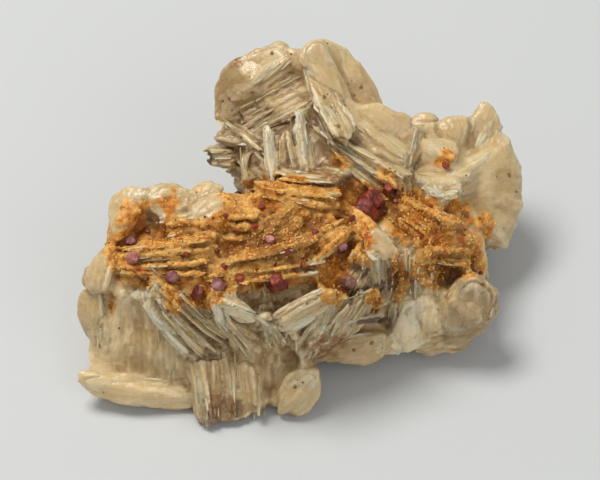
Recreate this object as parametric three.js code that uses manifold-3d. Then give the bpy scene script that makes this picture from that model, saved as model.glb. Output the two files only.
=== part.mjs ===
// A hand-sized specimen of bladed white baryte that carries a few small vanadinite crystals.
// The baryte is one intergrown mass: thin tabular crystals stand in sheaves and fans on a solid heart.
// Each vanadinite crystal is a separate stubby hexagonal prism, seated in a socket in the baryte.
// Lengths are in millimetres, +Z is up, and the origin is under the middle of the specimen.
import * as THREE from "three";
import { ConvexGeometry } from "three/addons/geometries/ConvexGeometry.js";
import { mergeVertices } from "three/addons/utils/BufferGeometryUtils.js";
import Module from "manifold-3d";

const wasm = await Module();
wasm.setup();

// The front view. Places on the front are given as they are seen from there: [across, down, height],
// with across and down counted from the top left corner of a sheet held in front of the specimen at
// life size, and height above the table.
const SHEET = { width: 120, height: 96 };
const SIGHT = { elevation: 50, distance: 600 };
// The point under the middle of the specimen, counted from the point under the middle of the sheet.
const MIDDLE = { x: 1.46, y: -13.85 };

const radians = THREE.MathUtils.degToRad;
const RIGHT = new THREE.Vector3(1, 0, 0);
const UP = new THREE.Vector3(0, 0, 1);
const DOWNWARD = radians(SIGHT.elevation);
const TO_VIEWER = new THREE.Vector3(0, -Math.cos(DOWNWARD), Math.sin(DOWNWARD));
const SHEET_UP = new THREE.Vector3(0, Math.sin(DOWNWARD), Math.cos(DOWNWARD));

// The point of the specimen that is seen at a place on the sheet and lies at the given height.
function seen([across, down, height]) {
  const right = across - SHEET.width / 2;
  const up = SHEET.height / 2 - down;
  const nearer =
    (height - up * SHEET_UP.z) / (TO_VIEWER.z - (up * SHEET_UP.z) / SIGHT.distance);
  const shrink = 1 - nearer / SIGHT.distance;
  return new THREE.Vector3()
    .addScaledVector(RIGHT, right * shrink)
    .addScaledVector(SHEET_UP, up * shrink)
    .addScaledVector(TO_VIEWER, nearer)
    .add(new THREE.Vector3(-MIDDLE.x, -MIDDLE.y, 0));
}

// A point given in plain coordinates, counted from under the middle of the sheet.
function plain([x, y, z]) {
  return new THREE.Vector3(x - MIDDLE.x, y - MIDDLE.y, z);
}

// A repeatable irregularity between -1 and 1.
function uneven(seed, index) {
  const wave = Math.sin(seed * 12.9898 + index * 78.233) * 43758.5453;
  return 2 * (wave - Math.floor(wave)) - 1;
}

// Joining and cutting.
function solidOf(geometry) {
  const bare = geometry.clone();
  bare.deleteAttribute("normal");
  bare.deleteAttribute("uv");
  const merged = mergeVertices(bare, 1e-4);
  return new wasm.Manifold(
    new wasm.Mesh({
      numProp: 3,
      vertProperties: merged.getAttribute("position").array,
      triVerts: new Uint32Array(merged.index.array),
    }),
  );
}

// Corners that come to lie on one another where blades just touch are moved apart by a hair, so that
// the surface stays closed when near corners are taken as one.
const CLOSE = 0.004;
const HAIR = 0.012;
function partedCorners(positions) {
  const corners = Array.from({ length: positions.length / 3 }, (_, i) =>
    new THREE.Vector3().fromArray(positions, 3 * i),
  );
  corners.forEach((corner, i) => {
    while (corners.slice(0, i).some((other) => corner.distanceTo(other) < CLOSE)) {
      corner.x += HAIR;
      corner.y += HAIR / 2;
    }
  });
  return new Float32Array(corners.flatMap((corner) => corner.toArray()));
}

function geometryOf(solid) {
  const { vertProperties, triVerts } = solid.getMesh();
  const geometry = new THREE.BufferGeometry();
  geometry.setAttribute("position", new THREE.BufferAttribute(partedCorners(vertProperties), 3));
  geometry.setIndex(new THREE.BufferAttribute(new Uint32Array(triVerts), 1));
  geometry.computeVertexNormals();
  return geometry;
}

const hull = (points) => solidOf(new ConvexGeometry(points));

// One tabular crystal, a packet of plates: its half breadth at a share of its length, from root to tip.
const SHOULDER = 0.45;
const ROOT_SHARE = 0.62;
function halfBreadth(share, blunt) {
  if (share < SHOULDER) {
    return ROOT_SHARE + (1 - ROOT_SHARE) * Math.sin((Math.PI / 2) * (share / SHOULDER));
  }
  const past = (share - SHOULDER) / (1 - SHOULDER);
  return (1 - past ** blunt) ** (1 / blunt);
}

const EDGE_STEPS = [0, 0.5, 0.9];
const FACE_STEPS = [
  { share: 0, across: 0.45 },
  { share: 0.75, across: 0.5 },
];
function blade({ root, along, across, normal, length, breadth, thick, blunt }) {
  const at = (side, share, off) =>
    root
      .clone()
      .addScaledVector(across, (side * breadth) / 2)
      .addScaledVector(along, share * length)
      .addScaledVector(normal, (off * thick) / 2);
  const points = [at(0, 1, 0)];
  for (const share of EDGE_STEPS) {
    const half = halfBreadth(share, blunt);
    points.push(at(half, share, 0), at(-half, share, 0));
  }
  for (const step of FACE_STEPS) {
    for (const off of [-1, 1]) {
      points.push(at(step.across, step.share, off), at(-step.across, step.share, off));
    }
  }
  return hull(points);
}

// A sheaf: blades side by side that part from their roots like the leaves of a book.
// root and tip are the ends of the middle blade's near edge. turn is how far its broad face is turned
// away from the side it is looked at from: 0 shows the face, 90 the edge. web is the share of the
// blades' length up to which the gaps between them are filled.
const LENGTH_UNEVEN = 0.08;
const LEAN_UNEVEN = 3;
const WEB_SHARE = 0.3;
function sheaf(spec, seed) {
  const place = spec.plain ? plain : seen;
  const facing = spec.plain ? UP : TO_VIEWER;
  const { turn, breadth, thick, count = 1, pitch = 0, spread = 0, blunt = 2.2, web = 0 } = spec;
  const root = place(spec.root);
  const tip = place(spec.tip);
  const along = tip.clone().sub(root);
  const length = along.length();
  along.normalize();
  const towards = facing.clone().addScaledVector(along, -facing.dot(along)).normalize();
  const normal = towards.clone().applyAxisAngle(along, radians(turn));
  const across = along.clone().cross(normal).normalize();
  root.addScaledVector(across, (breadth / 2) * Math.sin(radians(turn)));
  const blades = [];
  for (let i = 0; i < count; i += 1) {
    const step = i - (count - 1) / 2;
    const share = count > 1 ? step / (count - 1) : 0;
    const loose = count > 1 ? 1 : 0;
    const angle = radians(-spread * share + loose * LEAN_UNEVEN * uneven(seed, i));
    blades.push({
      root: root.clone().addScaledVector(normal, pitch * step),
      along: along.clone().applyAxisAngle(across, angle),
      normal: normal.clone().applyAxisAngle(across, angle),
      across,
      length: length * (1 + loose * LENGTH_UNEVEN * uneven(seed + 0.5, i)),
      breadth,
      thick,
      blunt,
    });
  }
  const solids = blades.map(blade);
  if (web > 0) {
    const filling = blades.flatMap((one) =>
      [-1, 1].flatMap((side) => {
        const start = one.root.clone().addScaledVector(across, side * WEB_SHARE * breadth);
        return [start, start.clone().addScaledVector(one.along, web * one.length)];
      }),
    );
    solids.push(hull(filling));
  }
  return solids;
}

// A broad crystal seen on its face, with an outline of its own. at is a point of its plane; lean tips
// its face up to the sky and yaw turns it to the right, in degrees from facing the viewer.
const BEVEL = { inset: 0.9, front: 0.3 };
function plate({ outline, at, lean = 0, yaw = 0, thick }) {
  const centre = seen(at);
  const normal = TO_VIEWER.clone()
    .applyAxisAngle(RIGHT, radians(-lean))
    .applyAxisAngle(SHEET_UP, radians(yaw));
  const depthOn = (point) => centre.clone().sub(point).dot(normal) / TO_VIEWER.dot(normal);
  const rim = outline.map(([across, down]) => {
    const point = seen([across, down, at[2]]);
    return point.addScaledVector(TO_VIEWER, depthOn(point));
  });
  const middle = rim.reduce((sum, point) => sum.add(point), new THREE.Vector3()).divideScalar(rim.length);
  const points = [];
  for (const point of rim) {
    const inward = middle.clone().sub(point).normalize().multiplyScalar(BEVEL.inset);
    points.push(
      point,
      point.clone().add(inward).addScaledVector(normal, BEVEL.front * thick),
      point.clone().add(inward).addScaledVector(normal, (BEVEL.front - 1) * thick),
    );
  }
  return hull(points);
}

// The solid heart of the specimen, mostly hidden under the blades, with four low feet cut flat.
const HEARTS = {
  left_block: [
    [-36, -34, 6], [-37, -28, 12], [-34, -32, 22], [-33, -20, 26], [-27, -15, 28.5], [-12, -13, 30.5],
    [6, -10, 29.5], [10, -26, 28.5], [6, -31, 27.5], [-6, -33, 27.5], [-22, -33, 28], [-24, -38, 5],
    [-6, -39, 4], [9, -33, 4], [-35, -18, 6], [6, -6, 5], [-30, -15, 5],
  ],
  saddle: [
    [4, -30, 26], [15, -26, 25], [17, -6, 28], [2, 0, 29], [4, -31, 6], [16, -24, 6], [14, -2, 6],
    [0, 2, 8], [14, -29, 14],
  ],
  left_foot: [
    [-33, -36, -2], [-30, -20, -2], [-14, -18, -2], [-14, -36, -2], [-36, -38, 8], [-34, -18, 8],
    [-10, -14, 8], [-10, -38, 8],
  ],
  dome: [
    [-12, 2, 10], [-13, 4, 25], [-9, 0, 30], [-9, 14, 27], [-5, 15, 8], [0, 3, 34], [4, 15, 40],
    [-3, 14, 38], [10, 6, 33], [14, 12, 27], [15, 4, 26], [12, 15, 8], [16, 6, 8], [4, 19, 24],
    [-8, -10, 12], [12, -12, 12], [-8, -8, 28], [12, -10, 28], [-6, 4, 4], [10, 10, 4],
  ],
  dome_foot: [
    [-7, 3, -2], [-4, 12, -2], [7, 12, -2], [9, 3, -2], [-10, -2, 9], [-8, 14, 9], [11, 14, 9],
    [13, -2, 9],
  ],
  right_block: [
    [12, -28, 23], [30, -24, 13], [30, -25, 6], [34, -14, 10], [39, -4, 13], [37, 8, 15],
    [31, 12, 19], [18, 13, 16], [12, 5, 28], [16, -20, 27], [28, -15, 23], [29, 4, 24], [12, -31, 6],
    [14, 8, 8], [32, 6, 8],
  ],
  right_foot: [
    [13, -26, -2], [24, -24, -2], [28, -10, -2], [16, -6, -2], [10, -30, 8], [28, -26, 8],
    [33, -8, 8], [12, -2, 8],
  ],
  front_foot: [
    [-19, -42, -2], [-14, -45, -2], [-6, -43, -2], [-10, -35, -2], [-19, -40, 6], [-8, -41, 8],
    [-1, -40, 3], [1, -37, 7], [-22, -34, 8], [-8, -34, 13], [4, -32, 12],
  ],
};

const SHEAVES = [
  // The dome at the back.
  { name: "lens", root: [58.6, 12.2, 39.5], tip: [45, 23, 32], turn: 35, breadth: 6, thick: 3.4 },
  {
    name: "stack", root: [47.2, 24.4, 31.5], tip: [61.4, 17, 37.5], turn: 72, breadth: 10, thick: 1.9,
    count: 4, pitch: 1.7, spread: 3, blunt: 5,
  },
  {
    name: "stack_foot", root: [52, 25.4, 32], tip: [62.6, 20.2, 37], turn: 50, breadth: 3.4, thick: 1.4,
    blunt: 4,
  },
  { name: "left_spire", root: [53.6, 36.6, 30.5], tip: [51.8, 23.2, 36], turn: 55, breadth: 5, thick: 1.5 },
  { name: "right_spire", root: [60.6, 35, 31], tip: [58.6, 20.8, 37.5], turn: 55, breadth: 5, thick: 1.7 },
  {
    name: "between_spires", root: [57, 35.8, 30], tip: [55.6, 25, 35.5], turn: 75, breadth: 8, thick: 1.5,
    count: 4, pitch: 1.5, spread: 14,
  },
  {
    name: "lower_fan", root: [49.4, 36.8, 28], tip: [47.8, 29.2, 31.5], turn: 75, breadth: 8, thick: 1.6,
    count: 4, pitch: 1, spread: 50,
  },
  {
    name: "left_comb", root: [47.6, 31.8, 27], tip: [40.6, 31.8, 26.5], turn: 80, breadth: 9, thick: 1.5,
    count: 3, pitch: 1.5, spread: 6, blunt: 4,
  },
  {
    name: "above_comb", root: [48.6, 29.4, 29.5], tip: [41.6, 28.2, 28], turn: 35, breadth: 4.6, thick: 1.6,
  },
  {
    name: "left_slant", root: [52, 31.6, 31], tip: [43.4, 23.6, 31.5], turn: 68, breadth: 8, thick: 1.6,
    count: 2, pitch: 1.7, spread: 4,
  },
  { name: "ridge", root: [67.4, 28.6, 37], tip: [60, 12.4, 41], turn: 28, breadth: 6.6, thick: 2 },
  { name: "ridge_back", root: [66, 28.6, 34], tip: [62, 18.6, 36], turn: 40, breadth: 6, thick: 2 },
  {
    name: "long_slant", root: [79, 39, 30], tip: [61, 25.4, 35.5], turn: 62, breadth: 9, thick: 1.7,
    count: 4, pitch: 2, spread: 10,
  },
  {
    name: "upper_slant", root: [80, 33.6, 31], tip: [70, 25.8, 35], turn: 55, breadth: 8, thick: 1.8,
    count: 2, pitch: 2.2, spread: 6,
  },
  {
    name: "dome_sill", root: [68, 38, 31.5], tip: [53.6, 35.4, 31.5], turn: 60, breadth: 7, thick: 1.7,
    count: 2, pitch: 1.7, spread: 8,
  },
  {
    name: "upright_pair", root: [79.8, 40, 28.5], tip: [82, 23.2, 34], turn: 62, breadth: 7, thick: 1.4,
    count: 2, pitch: 1.3, spread: 6,
  },
  // The fan on the right.
  {
    name: "fan_cheek", root: [87, 36.2, 26.5], tip: [102.4, 28, 21.5], turn: 25, breadth: 6.6, thick: 4.2,
    blunt: 2.4,
  },
  {
    name: "fan_brow", root: [91, 33.4, 26], tip: [82, 30.4, 28.6], turn: 40, breadth: 6, thick: 2.4,
    count: 2, pitch: 2.4, spread: 6,
  },
  {
    name: "fan", root: [89.4, 37.8, 24.5], tip: [108.2, 38.8, 17], turn: 88, breadth: 16, thick: 2.9,
    count: 10, pitch: 0.2, spread: 78, blunt: 4, web: 0.92,
  },
  {
    name: "fan_skirt", root: [91, 40.4, 24], tip: [102, 46.6, 15.5], turn: 74, breadth: 9, thick: 2,
    count: 3, pitch: 1.2, spread: 22,
  },
  {
    name: "fan_tuft", root: [93, 40.4, 25], tip: [84.8, 39.8, 28], turn: 60, breadth: 7, thick: 2.1,
    count: 3, pitch: 1.3, spread: 34,
  },
  {
    name: "fan_sill", root: [95.4, 36.4, 25], tip: [84, 35.8, 28.5], turn: 65, breadth: 6, thick: 1.4,
    count: 2, pitch: 1.2, spread: 5,
  },
  // The right block under the fan.
  {
    name: "crusted_slant", root: [90, 48.4, 26], tip: [76.6, 40, 30], turn: 78, breadth: 7, thick: 1.6,
    count: 4, pitch: 2, spread: 8,
  },
  {
    name: "crusted_rows", root: [96, 50.6, 22], tip: [85, 51, 25.5], turn: 74, breadth: 6, thick: 1.7,
    count: 3, pitch: 2.4, spread: 16,
  },
  {
    name: "right_rim", root: [93, 40.8, 23.5], tip: [98.6, 57.6, 11.5], turn: 62, breadth: 10, thick: 1.9,
    count: 4, pitch: 1.5, spread: 10, blunt: 3,
  },
  {
    name: "pleats", root: [84.4, 63.6, 12], tip: [82.4, 50.6, 27], turn: 65, breadth: 10, thick: 1.6,
    count: 4, pitch: 1.6, spread: 10,
  },
  {
    name: "side_pleats", root: [77.6, 69.6, 4.5], tip: [80, 53, 23.5], turn: 60, breadth: 10, thick: 1.9,
    count: 2, pitch: 1.9, spread: 4,
  },
  {
    name: "cross_bars", root: [78, 62.2, 17.5], tip: [67.4, 63.6, 20.5], turn: 45, breadth: 6, thick: 2.2,
    count: 2, pitch: 2.6, spread: 4,
  },
  {
    name: "low_bars", root: [67, 69.4, 9.5], tip: [58.6, 71.6, 9], turn: 60, breadth: 6, thick: 1.4,
    count: 2, pitch: 1.6, spread: 10,
  },
  // The V of blades in the middle of the front.
  {
    name: "v_left", root: [55.6, 71.4, 12.5], tip: [52, 61.4, 25.5], turn: 68, breadth: 9, thick: 1.7,
    count: 3, pitch: 1.7, spread: 7,
  },
  {
    name: "v_right", root: [57, 71, 13], tip: [66.6, 58.6, 28], turn: 70, breadth: 9, thick: 1.8, count: 3,
    pitch: 2, spread: 8,
  },
  {
    name: "v_inside", root: [57.4, 68.8, 16], tip: [58.6, 62, 23.5], turn: 72, breadth: 7, thick: 1.5,
    count: 2, pitch: 1.7, spread: 18,
  },
  {
    name: "v_outside", root: [61.6, 69, 14], tip: [70, 58.8, 28.5], turn: 60, breadth: 10, thick: 1.8,
    count: 2, pitch: 2.2, spread: 6,
  },
  {
    name: "v_roof", root: [54, 64, 25], tip: [66.4, 57.2, 30.5], turn: 65, breadth: 8, thick: 1.6, count: 2,
    pitch: 1.8, spread: 6,
  },
  {
    name: "v_eave", root: [44, 58.4, 29.5], tip: [52.8, 63, 26.5], turn: 68, breadth: 8, thick: 1.7,
    count: 2, pitch: 2, spread: 10,
  },
  {
    name: "rear_rows", root: [67, 42.4, 32.5], tip: [50, 38.8, 33], turn: 74, breadth: 8, thick: 1.6,
    count: 3, pitch: 2.4, spread: 12,
  },
  { name: "glint", root: [43.6, 65.6, 21], tip: [41.8, 58.8, 29.5], turn: 50, breadth: 4, thick: 1.6 },
  // The front of the left block.
  { name: "white_blade", root: [39, 73.4, 8.5], tip: [26.6, 59.6, 27.5], turn: 42, breadth: 6, thick: 1.9 },
  {
    name: "front_slant", root: [44.6, 71.6, 11.5], tip: [31, 59, 29], turn: 68, breadth: 9, thick: 2,
    count: 4, pitch: 2.1, spread: 6,
  },
  {
    name: "middle_slant", root: [51, 71.4, 12.5], tip: [41.2, 60.2, 27.5], turn: 68, breadth: 9, thick: 2,
    count: 3, pitch: 2.1, spread: 8,
  },
  { name: "front_post", root: [38.4, 77.6, 3.5], tip: [38.2, 67, 12.5], turn: 45, breadth: 5, thick: 1.8 },
  {
    name: "left_wall", root: [28, 79.4, 3], tip: [27.4, 62.8, 19], turn: 80, breadth: 10, thick: 2.6,
    count: 8, pitch: 2.15, spread: 6, blunt: 3, web: 0.8,
  },
  {
    name: "left_knob", root: [25, 72.8, 8], tip: [15.3, 72.7, 7.5], turn: 55, breadth: 7, thick: 3.4,
    blunt: 2.6,
  },
  // The crusted top of the left block.
  {
    name: "left_rows", root: [43, 51.6, 32], tip: [22, 53, 29], turn: 80, breadth: 8, thick: 1.6, count: 4,
    pitch: 2.3, spread: 8,
  },
  {
    name: "back_rows", root: [52, 46, 33.5], tip: [30, 45.4, 32], turn: 80, breadth: 8, thick: 1.6,
    count: 3, pitch: 2.4, spread: 10,
  },
  {
    name: "middle_rows", root: [66, 51, 32.5], tip: [43.6, 55.4, 32.5], turn: 80, breadth: 9, thick: 1.6,
    count: 4, pitch: 2.2, spread: 10,
  },
  {
    name: "back_slant", root: [53, 48.4, 33], tip: [60.4, 40.2, 34.5], turn: 76, breadth: 8, thick: 1.6,
    count: 4, pitch: 2.2, spread: 14,
  },
  {
    name: "right_rows", root: [61, 50.4, 33], tip: [71.4, 43, 33.5], turn: 76, breadth: 9, thick: 1.6,
    count: 3, pitch: 2.2, spread: 10,
  },
  {
    name: "right_flank", root: [63.6, 66, 18.5], tip: [73, 50, 31], turn: 60, breadth: 11, thick: 1.9,
    count: 3, pitch: 1.9, spread: 8,
  },
  // The foot of the front.
  {
    name: "foot_pleats", root: [47, 71, 12], tip: [46.8, 87.2, 0.5], turn: 72, breadth: 9, thick: 2.5,
    count: 7, pitch: 2.4, spread: 16, blunt: 3, web: 0.88,
  },
  {
    name: "foot_band", root: [51.6, 72.6, 12], tip: [52.6, 85, 2], turn: 50, breadth: 6, thick: 2.6,
    blunt: 4,
  },
  // The back, in plain coordinates, looked at from above.
  {
    name: "rear_left", plain: true, root: [-21, -22, 27], tip: [-33, -6, 20], turn: 90, breadth: 24,
    thick: 3.8, count: 5, pitch: 0.6, spread: 84, blunt: 3,
  },
  {
    name: "rear_notch", plain: true, root: [-6, -16, 26], tip: [-12, 0, 18], turn: 90, breadth: 22,
    thick: 3.4, count: 4, pitch: 2.8, spread: 40, blunt: 3,
  },
  {
    name: "dome_side", plain: true, root: [-3, 8, 28], tip: [-19, 7, 19], turn: 90, breadth: 22, thick: 3.8,
    count: 4, pitch: 1.2, spread: 66, blunt: 3,
  },
  {
    name: "dome_rear", plain: true, root: [1, 8, 32], tip: [-5, 23.6, 19], turn: 90, breadth: 24,
    thick: 3.8, count: 4, pitch: 1.2, spread: 60, blunt: 3,
  },
  {
    name: "dome_rear_right", plain: true, root: [6, 8, 31], tip: [13, 23, 17], turn: 90, breadth: 22,
    thick: 3.6, count: 4, pitch: 1.4, spread: 56, blunt: 3,
  },
  {
    name: "fan_rear", plain: true, root: [25, 2, 21], tip: [33, 19, 13], turn: 90, breadth: 17, thick: 3.8,
    count: 4, pitch: 1.3, spread: 80, blunt: 3,
  },
];

const PLATES = [
  {
    name: "dome_cheek", at: [48, 17, 34.5], yaw: -20, lean: 5, thick: 4,
    outline: [
      [42.4, 23.8], [42.4, 20], [42.9, 16.8], [44.6, 14.2], [46.8, 12.2], [50, 10.4], [53, 9.7], [57, 9.4],
      [58.6, 12.2], [52.6, 17.6], [48, 21.6], [45.4, 24],
    ],
  },
  {
    name: "dome_crest", at: [55.4, 10, 39.5], thick: 3,
    outline: [
      [52.4, 9.8], [54, 8.6], [56, 8], [57.2, 8.8], [58.6, 10.4], [57, 12.6], [53.6, 12],
    ],
  },
  {
    name: "dome_saddle", at: [60.6, 12, 39.5], thick: 3.4,
    outline: [
      [57.4, 9.7], [60, 9.5], [62.4, 9.6], [64, 12], [62, 15], [58.4, 13.6],
    ],
  },
  {
    name: "dome_brow", at: [66, 16, 40], yaw: 10, thick: 3.4,
    outline: [
      [60.4, 9.6], [61.6, 8.2], [63.6, 8.2], [64.8, 7.8], [66.6, 12], [69, 17.6], [70.4, 20.8],
      [72.4, 23.2], [71.2, 25.2], [69.2, 26.4], [67, 23.6], [64.2, 18], [62.2, 14.4], [60, 12.2],
    ],
  },
  {
    name: "dome_temple", at: [70, 15, 37], yaw: 18, thick: 3.6,
    outline: [
      [64.4, 7.8], [66.4, 8.4], [69, 9.8], [71.4, 12], [72.4, 14.2], [74.4, 16.8], [76.8, 20.4],
      [76.8, 21.2], [74.4, 22.6], [72.8, 23.6], [70.4, 20.8], [66.8, 12.6],
    ],
  },
  {
    name: "dome_shoulder", at: [75, 24, 34], yaw: 10, thick: 4,
    outline: [
      [70.8, 21.4], [74.4, 20], [77.2, 21.2], [80, 22.6], [82.4, 23.2], [82.4, 26], [80.6, 29.2],
      [76.4, 28.4], [72.4, 27], [70, 25.4],
    ],
  },
  {
    name: "fan_crown_left", at: [84.6, 27, 28], thick: 4,
    outline: [
      [80.6, 25.4], [82.4, 24.6], [84.8, 24.8], [86.8, 24.2], [87.2, 28.4], [85, 30.4], [81, 30],
    ],
  },
  {
    name: "fan_crown", at: [90, 26, 27.4], thick: 4,
    outline: [
      [86.6, 24.4], [88.2, 24], [90.4, 23], [92.4, 22.8], [93.8, 23.4], [93.6, 26], [93, 29.4],
      [89.6, 30.4], [86.6, 29],
    ],
  },
  {
    name: "fan_crown_right", at: [96, 25, 25.6], yaw: 10, thick: 4,
    outline: [
      [93.2, 23.6], [94.6, 23.2], [96.4, 20.8], [97.6, 20.4], [99, 21.8], [100, 24], [100.6, 26],
      [99, 28.8], [96, 29.4], [93.2, 29.6],
    ],
  },
  {
    name: "fan_horn", at: [97.6, 23, 26.6], yaw: 10, thick: 4,
    outline: [
      [94.2, 23.2], [95, 21.4], [96.2, 20], [97.6, 20.1], [98.6, 21.2], [99.8, 23.2], [100.2, 25.4],
      [99.4, 26.4], [97.6, 25.4],
    ],
  },
  {
    name: "fan_back", at: [84.8, 24, 19], lean: 10, thick: 6,
    outline: [
      [81.8, 23.2], [83, 22.6], [84.4, 22.4], [86.6, 23], [87.8, 24], [86.4, 26.6], [84, 27], [82, 25.6],
    ],
  },
  {
    name: "right_face", at: [93, 61, 14.5], lean: -25, thick: 6,
    outline: [
      [88, 60], [91, 57], [94, 54.6], [97.6, 56], [99.3, 58], [99.1, 60], [97.6, 64.4], [94, 67], [89, 67],
      [87.4, 63],
    ],
  },
  {
    name: "right_base", at: [90, 68, 5.5], lean: -30, thick: 6,
    outline: [
      [82.4, 70.4], [84, 69], [89, 66], [94, 63], [98.8, 60.6], [99.2, 62], [98.4, 64.2], [95.4, 66.8],
      [92.2, 69.8], [89, 70.4], [85, 71.4],
    ],
  },
  {
    name: "pale_front", at: [81.6, 66, 9.5], lean: -30, thick: 3.4,
    outline: [
      [80.4, 60.4], [82.4, 60], [84.8, 61.2], [86, 64], [86, 67.2], [84.6, 69.2], [83.8, 70.4], [81, 71],
      [79, 71.2], [76.4, 71.8], [77.2, 68], [78.8, 64],
    ],
  },
  {
    name: "pale_side", at: [86.4, 64, 12], lean: -28, thick: 3.4,
    outline: [
      [83.2, 60.4], [85, 59.6], [87.2, 60], [88, 63], [88.8, 65.6], [89, 67], [86.4, 68], [84.8, 68.2],
    ],
  },
  {
    name: "ribbed_plate", at: [75, 47, 32.5], lean: 10, thick: 2.6,
    outline: [
      [70, 41.2], [72.4, 42.4], [75.2, 45.2], [78, 47.6], [80, 50], [79.2, 52.4], [76, 52.4], [72.8, 49],
      [71.2, 45.6],
    ],
  },
  {
    name: "spotted_plate", at: [70, 70, 6.5], lean: -30, thick: 4,
    outline: [
      [63.8, 70.4], [66, 68.4], [69, 67], [73, 66.2], [77.6, 66.4], [77.6, 69], [76.8, 71.4], [75.6, 72.4],
      [73.2, 73.2], [70.4, 72.8], [67, 72.6], [65, 72.4],
    ],
  },
  {
    name: "foot_plate", at: [60, 79, 5], lean: -28, thick: 5,
    outline: [
      [56.6, 75.6], [60, 73.2], [63.6, 73.6], [64.4, 76], [64.2, 78], [62.4, 80.4], [61.6, 82.2],
      [59.6, 84], [57.4, 83], [55.6, 83], [55.4, 80], [56, 77.6],
    ],
  },
  {
    name: "left_sole", at: [26, 78.6, 4], lean: -30, thick: 4.4,
    outline: [
      [15.8, 74.4], [19, 74.2], [21, 75.4], [26, 75.8], [29, 76.4], [32, 77], [36.6, 78.2], [39.4, 79.6],
      [39, 81.8], [34, 81.4], [28, 80.8], [23, 80.6], [20, 79.6], [17.4, 78.4], [15.8, 76.4],
    ],
  },
  {
    name: "left_brow", at: [24.6, 43, 30], yaw: -25, lean: 12, thick: 4,
    outline: [
      [22.4, 39], [25, 37.6], [27, 37.2], [30, 38], [28, 42], [25.6, 45.6], [23.6, 48], [21.6, 50],
      [20.2, 50.2], [21.8, 46], [22, 42],
    ],
  },
  {
    name: "left_shoulder", at: [19.6, 54, 23.5], yaw: -35, thick: 4.6,
    outline: [
      [20.2, 50], [23, 48.6], [22.6, 53], [21, 58], [18, 59], [16.8, 58], [16.6, 56], [18, 53.6],
    ],
  },
  {
    name: "left_cheek", at: [18.4, 63, 14], yaw: -38, lean: -20, thick: 5,
    outline: [
      [17, 57.4], [20.6, 57], [21.4, 62], [20, 68], [18, 69.4], [16.8, 67], [15.8, 63], [16, 61],
    ],
  },
  {
    name: "back_edge_left", at: [34, 39.4, 32.6], lean: 15, thick: 4,
    outline: [
      [28.6, 38.2], [30, 37], [32, 36.6], [35, 36.4], [37.2, 37.8], [38, 39.4], [36, 42.4], [33, 43.4],
      [30, 42.4],
    ],
  },
  {
    name: "back_edge", at: [41.6, 38.6, 33], lean: 15, thick: 4,
    outline: [
      [37.6, 38.4], [40, 36.6], [42.6, 36.6], [45, 37.4], [44, 42], [39, 42.4],
    ],
  },
  {
    name: "bare_patch", at: [43, 42, 34], lean: 20, thick: 3,
    outline: [
      [38, 41], [43, 38.6], [47, 39], [47.4, 41.6], [44, 45], [39.4, 45.2],
    ],
  },
];

// The vanadinite crystals: place of the outer end's middle, breadth across flats, length, and how the
// long axis leans from the line of sight.
const VANADINITE = [
  {
    name: "vanadinite_large", at: [75.2, 39.4, 30.2], breadth: 3.4, length: 4.6, lean: 20, yaw: 30,
    twin: {
      at: [72.6, 41, 30], breadth: 3.2, length: 4.4, lean: 25, yaw: -25,
    },
  },
  {
    name: "vanadinite_front", at: [57.2, 56.8, 29], breadth: 1.9, length: 3.6, lean: 10, yaw: 50,
    twin: {
      at: [55, 55.8, 31.2], breadth: 2.1, length: 2.6, lean: 10, yaw: -15,
    },
  },
  { name: "vanadinite_centre", at: [54, 47.6, 32.4], breadth: 1.8, length: 3, lean: 45, yaw: 5 },
  { name: "vanadinite_violet", at: [68.6, 49.2, 30.4], breadth: 1.8, length: 2.4, lean: 15, yaw: 10 },
  { name: "vanadinite_scarlet", at: [39.9, 57.9, 27], breadth: 1.8, length: 2.6, lean: 30, yaw: 20 },
  { name: "vanadinite_plum", at: [43.2, 56.8, 29.8], breadth: 2, length: 2.4, lean: 10, yaw: -20 },
  { name: "vanadinite_left", at: [26, 48, 27.2], breadth: 1.8, length: 2.6, lean: 20, yaw: -10 },
  { name: "vanadinite_left_pale", at: [26.8, 51.2, 30.2], breadth: 1.9, length: 2.4, lean: 15, yaw: 15 },
  { name: "vanadinite_notch", at: [34.8, 55.2, 29], breadth: 1.9, length: 2.6, lean: 10, yaw: 25 },
  { name: "vanadinite_smoky", at: [70.4, 56.4, 27.4], breadth: 2.2, length: 2.6, lean: 5, yaw: 30 },
  { name: "vanadinite_ledge", at: [77.8, 37.4, 30.8], breadth: 1.6, length: 2.6, lean: 20, yaw: 10 },
];

const SOCKET_GAP = 0.3;
const HEXAGON = 6;
const CAP = { inset: 0.82, depth: 0.12 };
function prism({ at, breadth, length, lean, yaw }, gap) {
  const across = breadth / Math.sqrt(3) + gap;
  const half = length / 2 + gap;
  const cap = CAP.depth * breadth;
  const profile = [
    new THREE.Vector2(0, -half),
    new THREE.Vector2(across, -half),
    new THREE.Vector2(across, half - cap),
    new THREE.Vector2(across * CAP.inset, half),
    new THREE.Vector2(0, half),
  ];
  const body = new THREE.LatheGeometry(profile, HEXAGON);
  const axis = TO_VIEWER.clone()
    .applyAxisAngle(RIGHT, radians(-lean))
    .applyAxisAngle(SHEET_UP, radians(yaw));
  const turned = new THREE.Quaternion().setFromUnitVectors(new THREE.Vector3(0, 1, 0), axis);
  const centre = seen(at).addScaledVector(axis, -length / 2);
  body.applyMatrix4(new THREE.Matrix4().compose(centre, turned, new THREE.Vector3(1, 1, 1)));
  return solidOf(body);
}

function crystal(spec, gap = 0) {
  const body = prism(spec, gap);
  return spec.twin ? body.add(prism(spec.twin, gap)) : body;
}

// Everything under the table is cut away, which leaves the feet flat.
const TABLE_CUT = { size: 300, depth: 20 };
function tableCut() {
  const block = new THREE.BoxGeometry(TABLE_CUT.size, TABLE_CUT.size, TABLE_CUT.depth);
  block.translate(0, 0, -TABLE_CUT.depth / 2);
  return solidOf(block);
}

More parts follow.
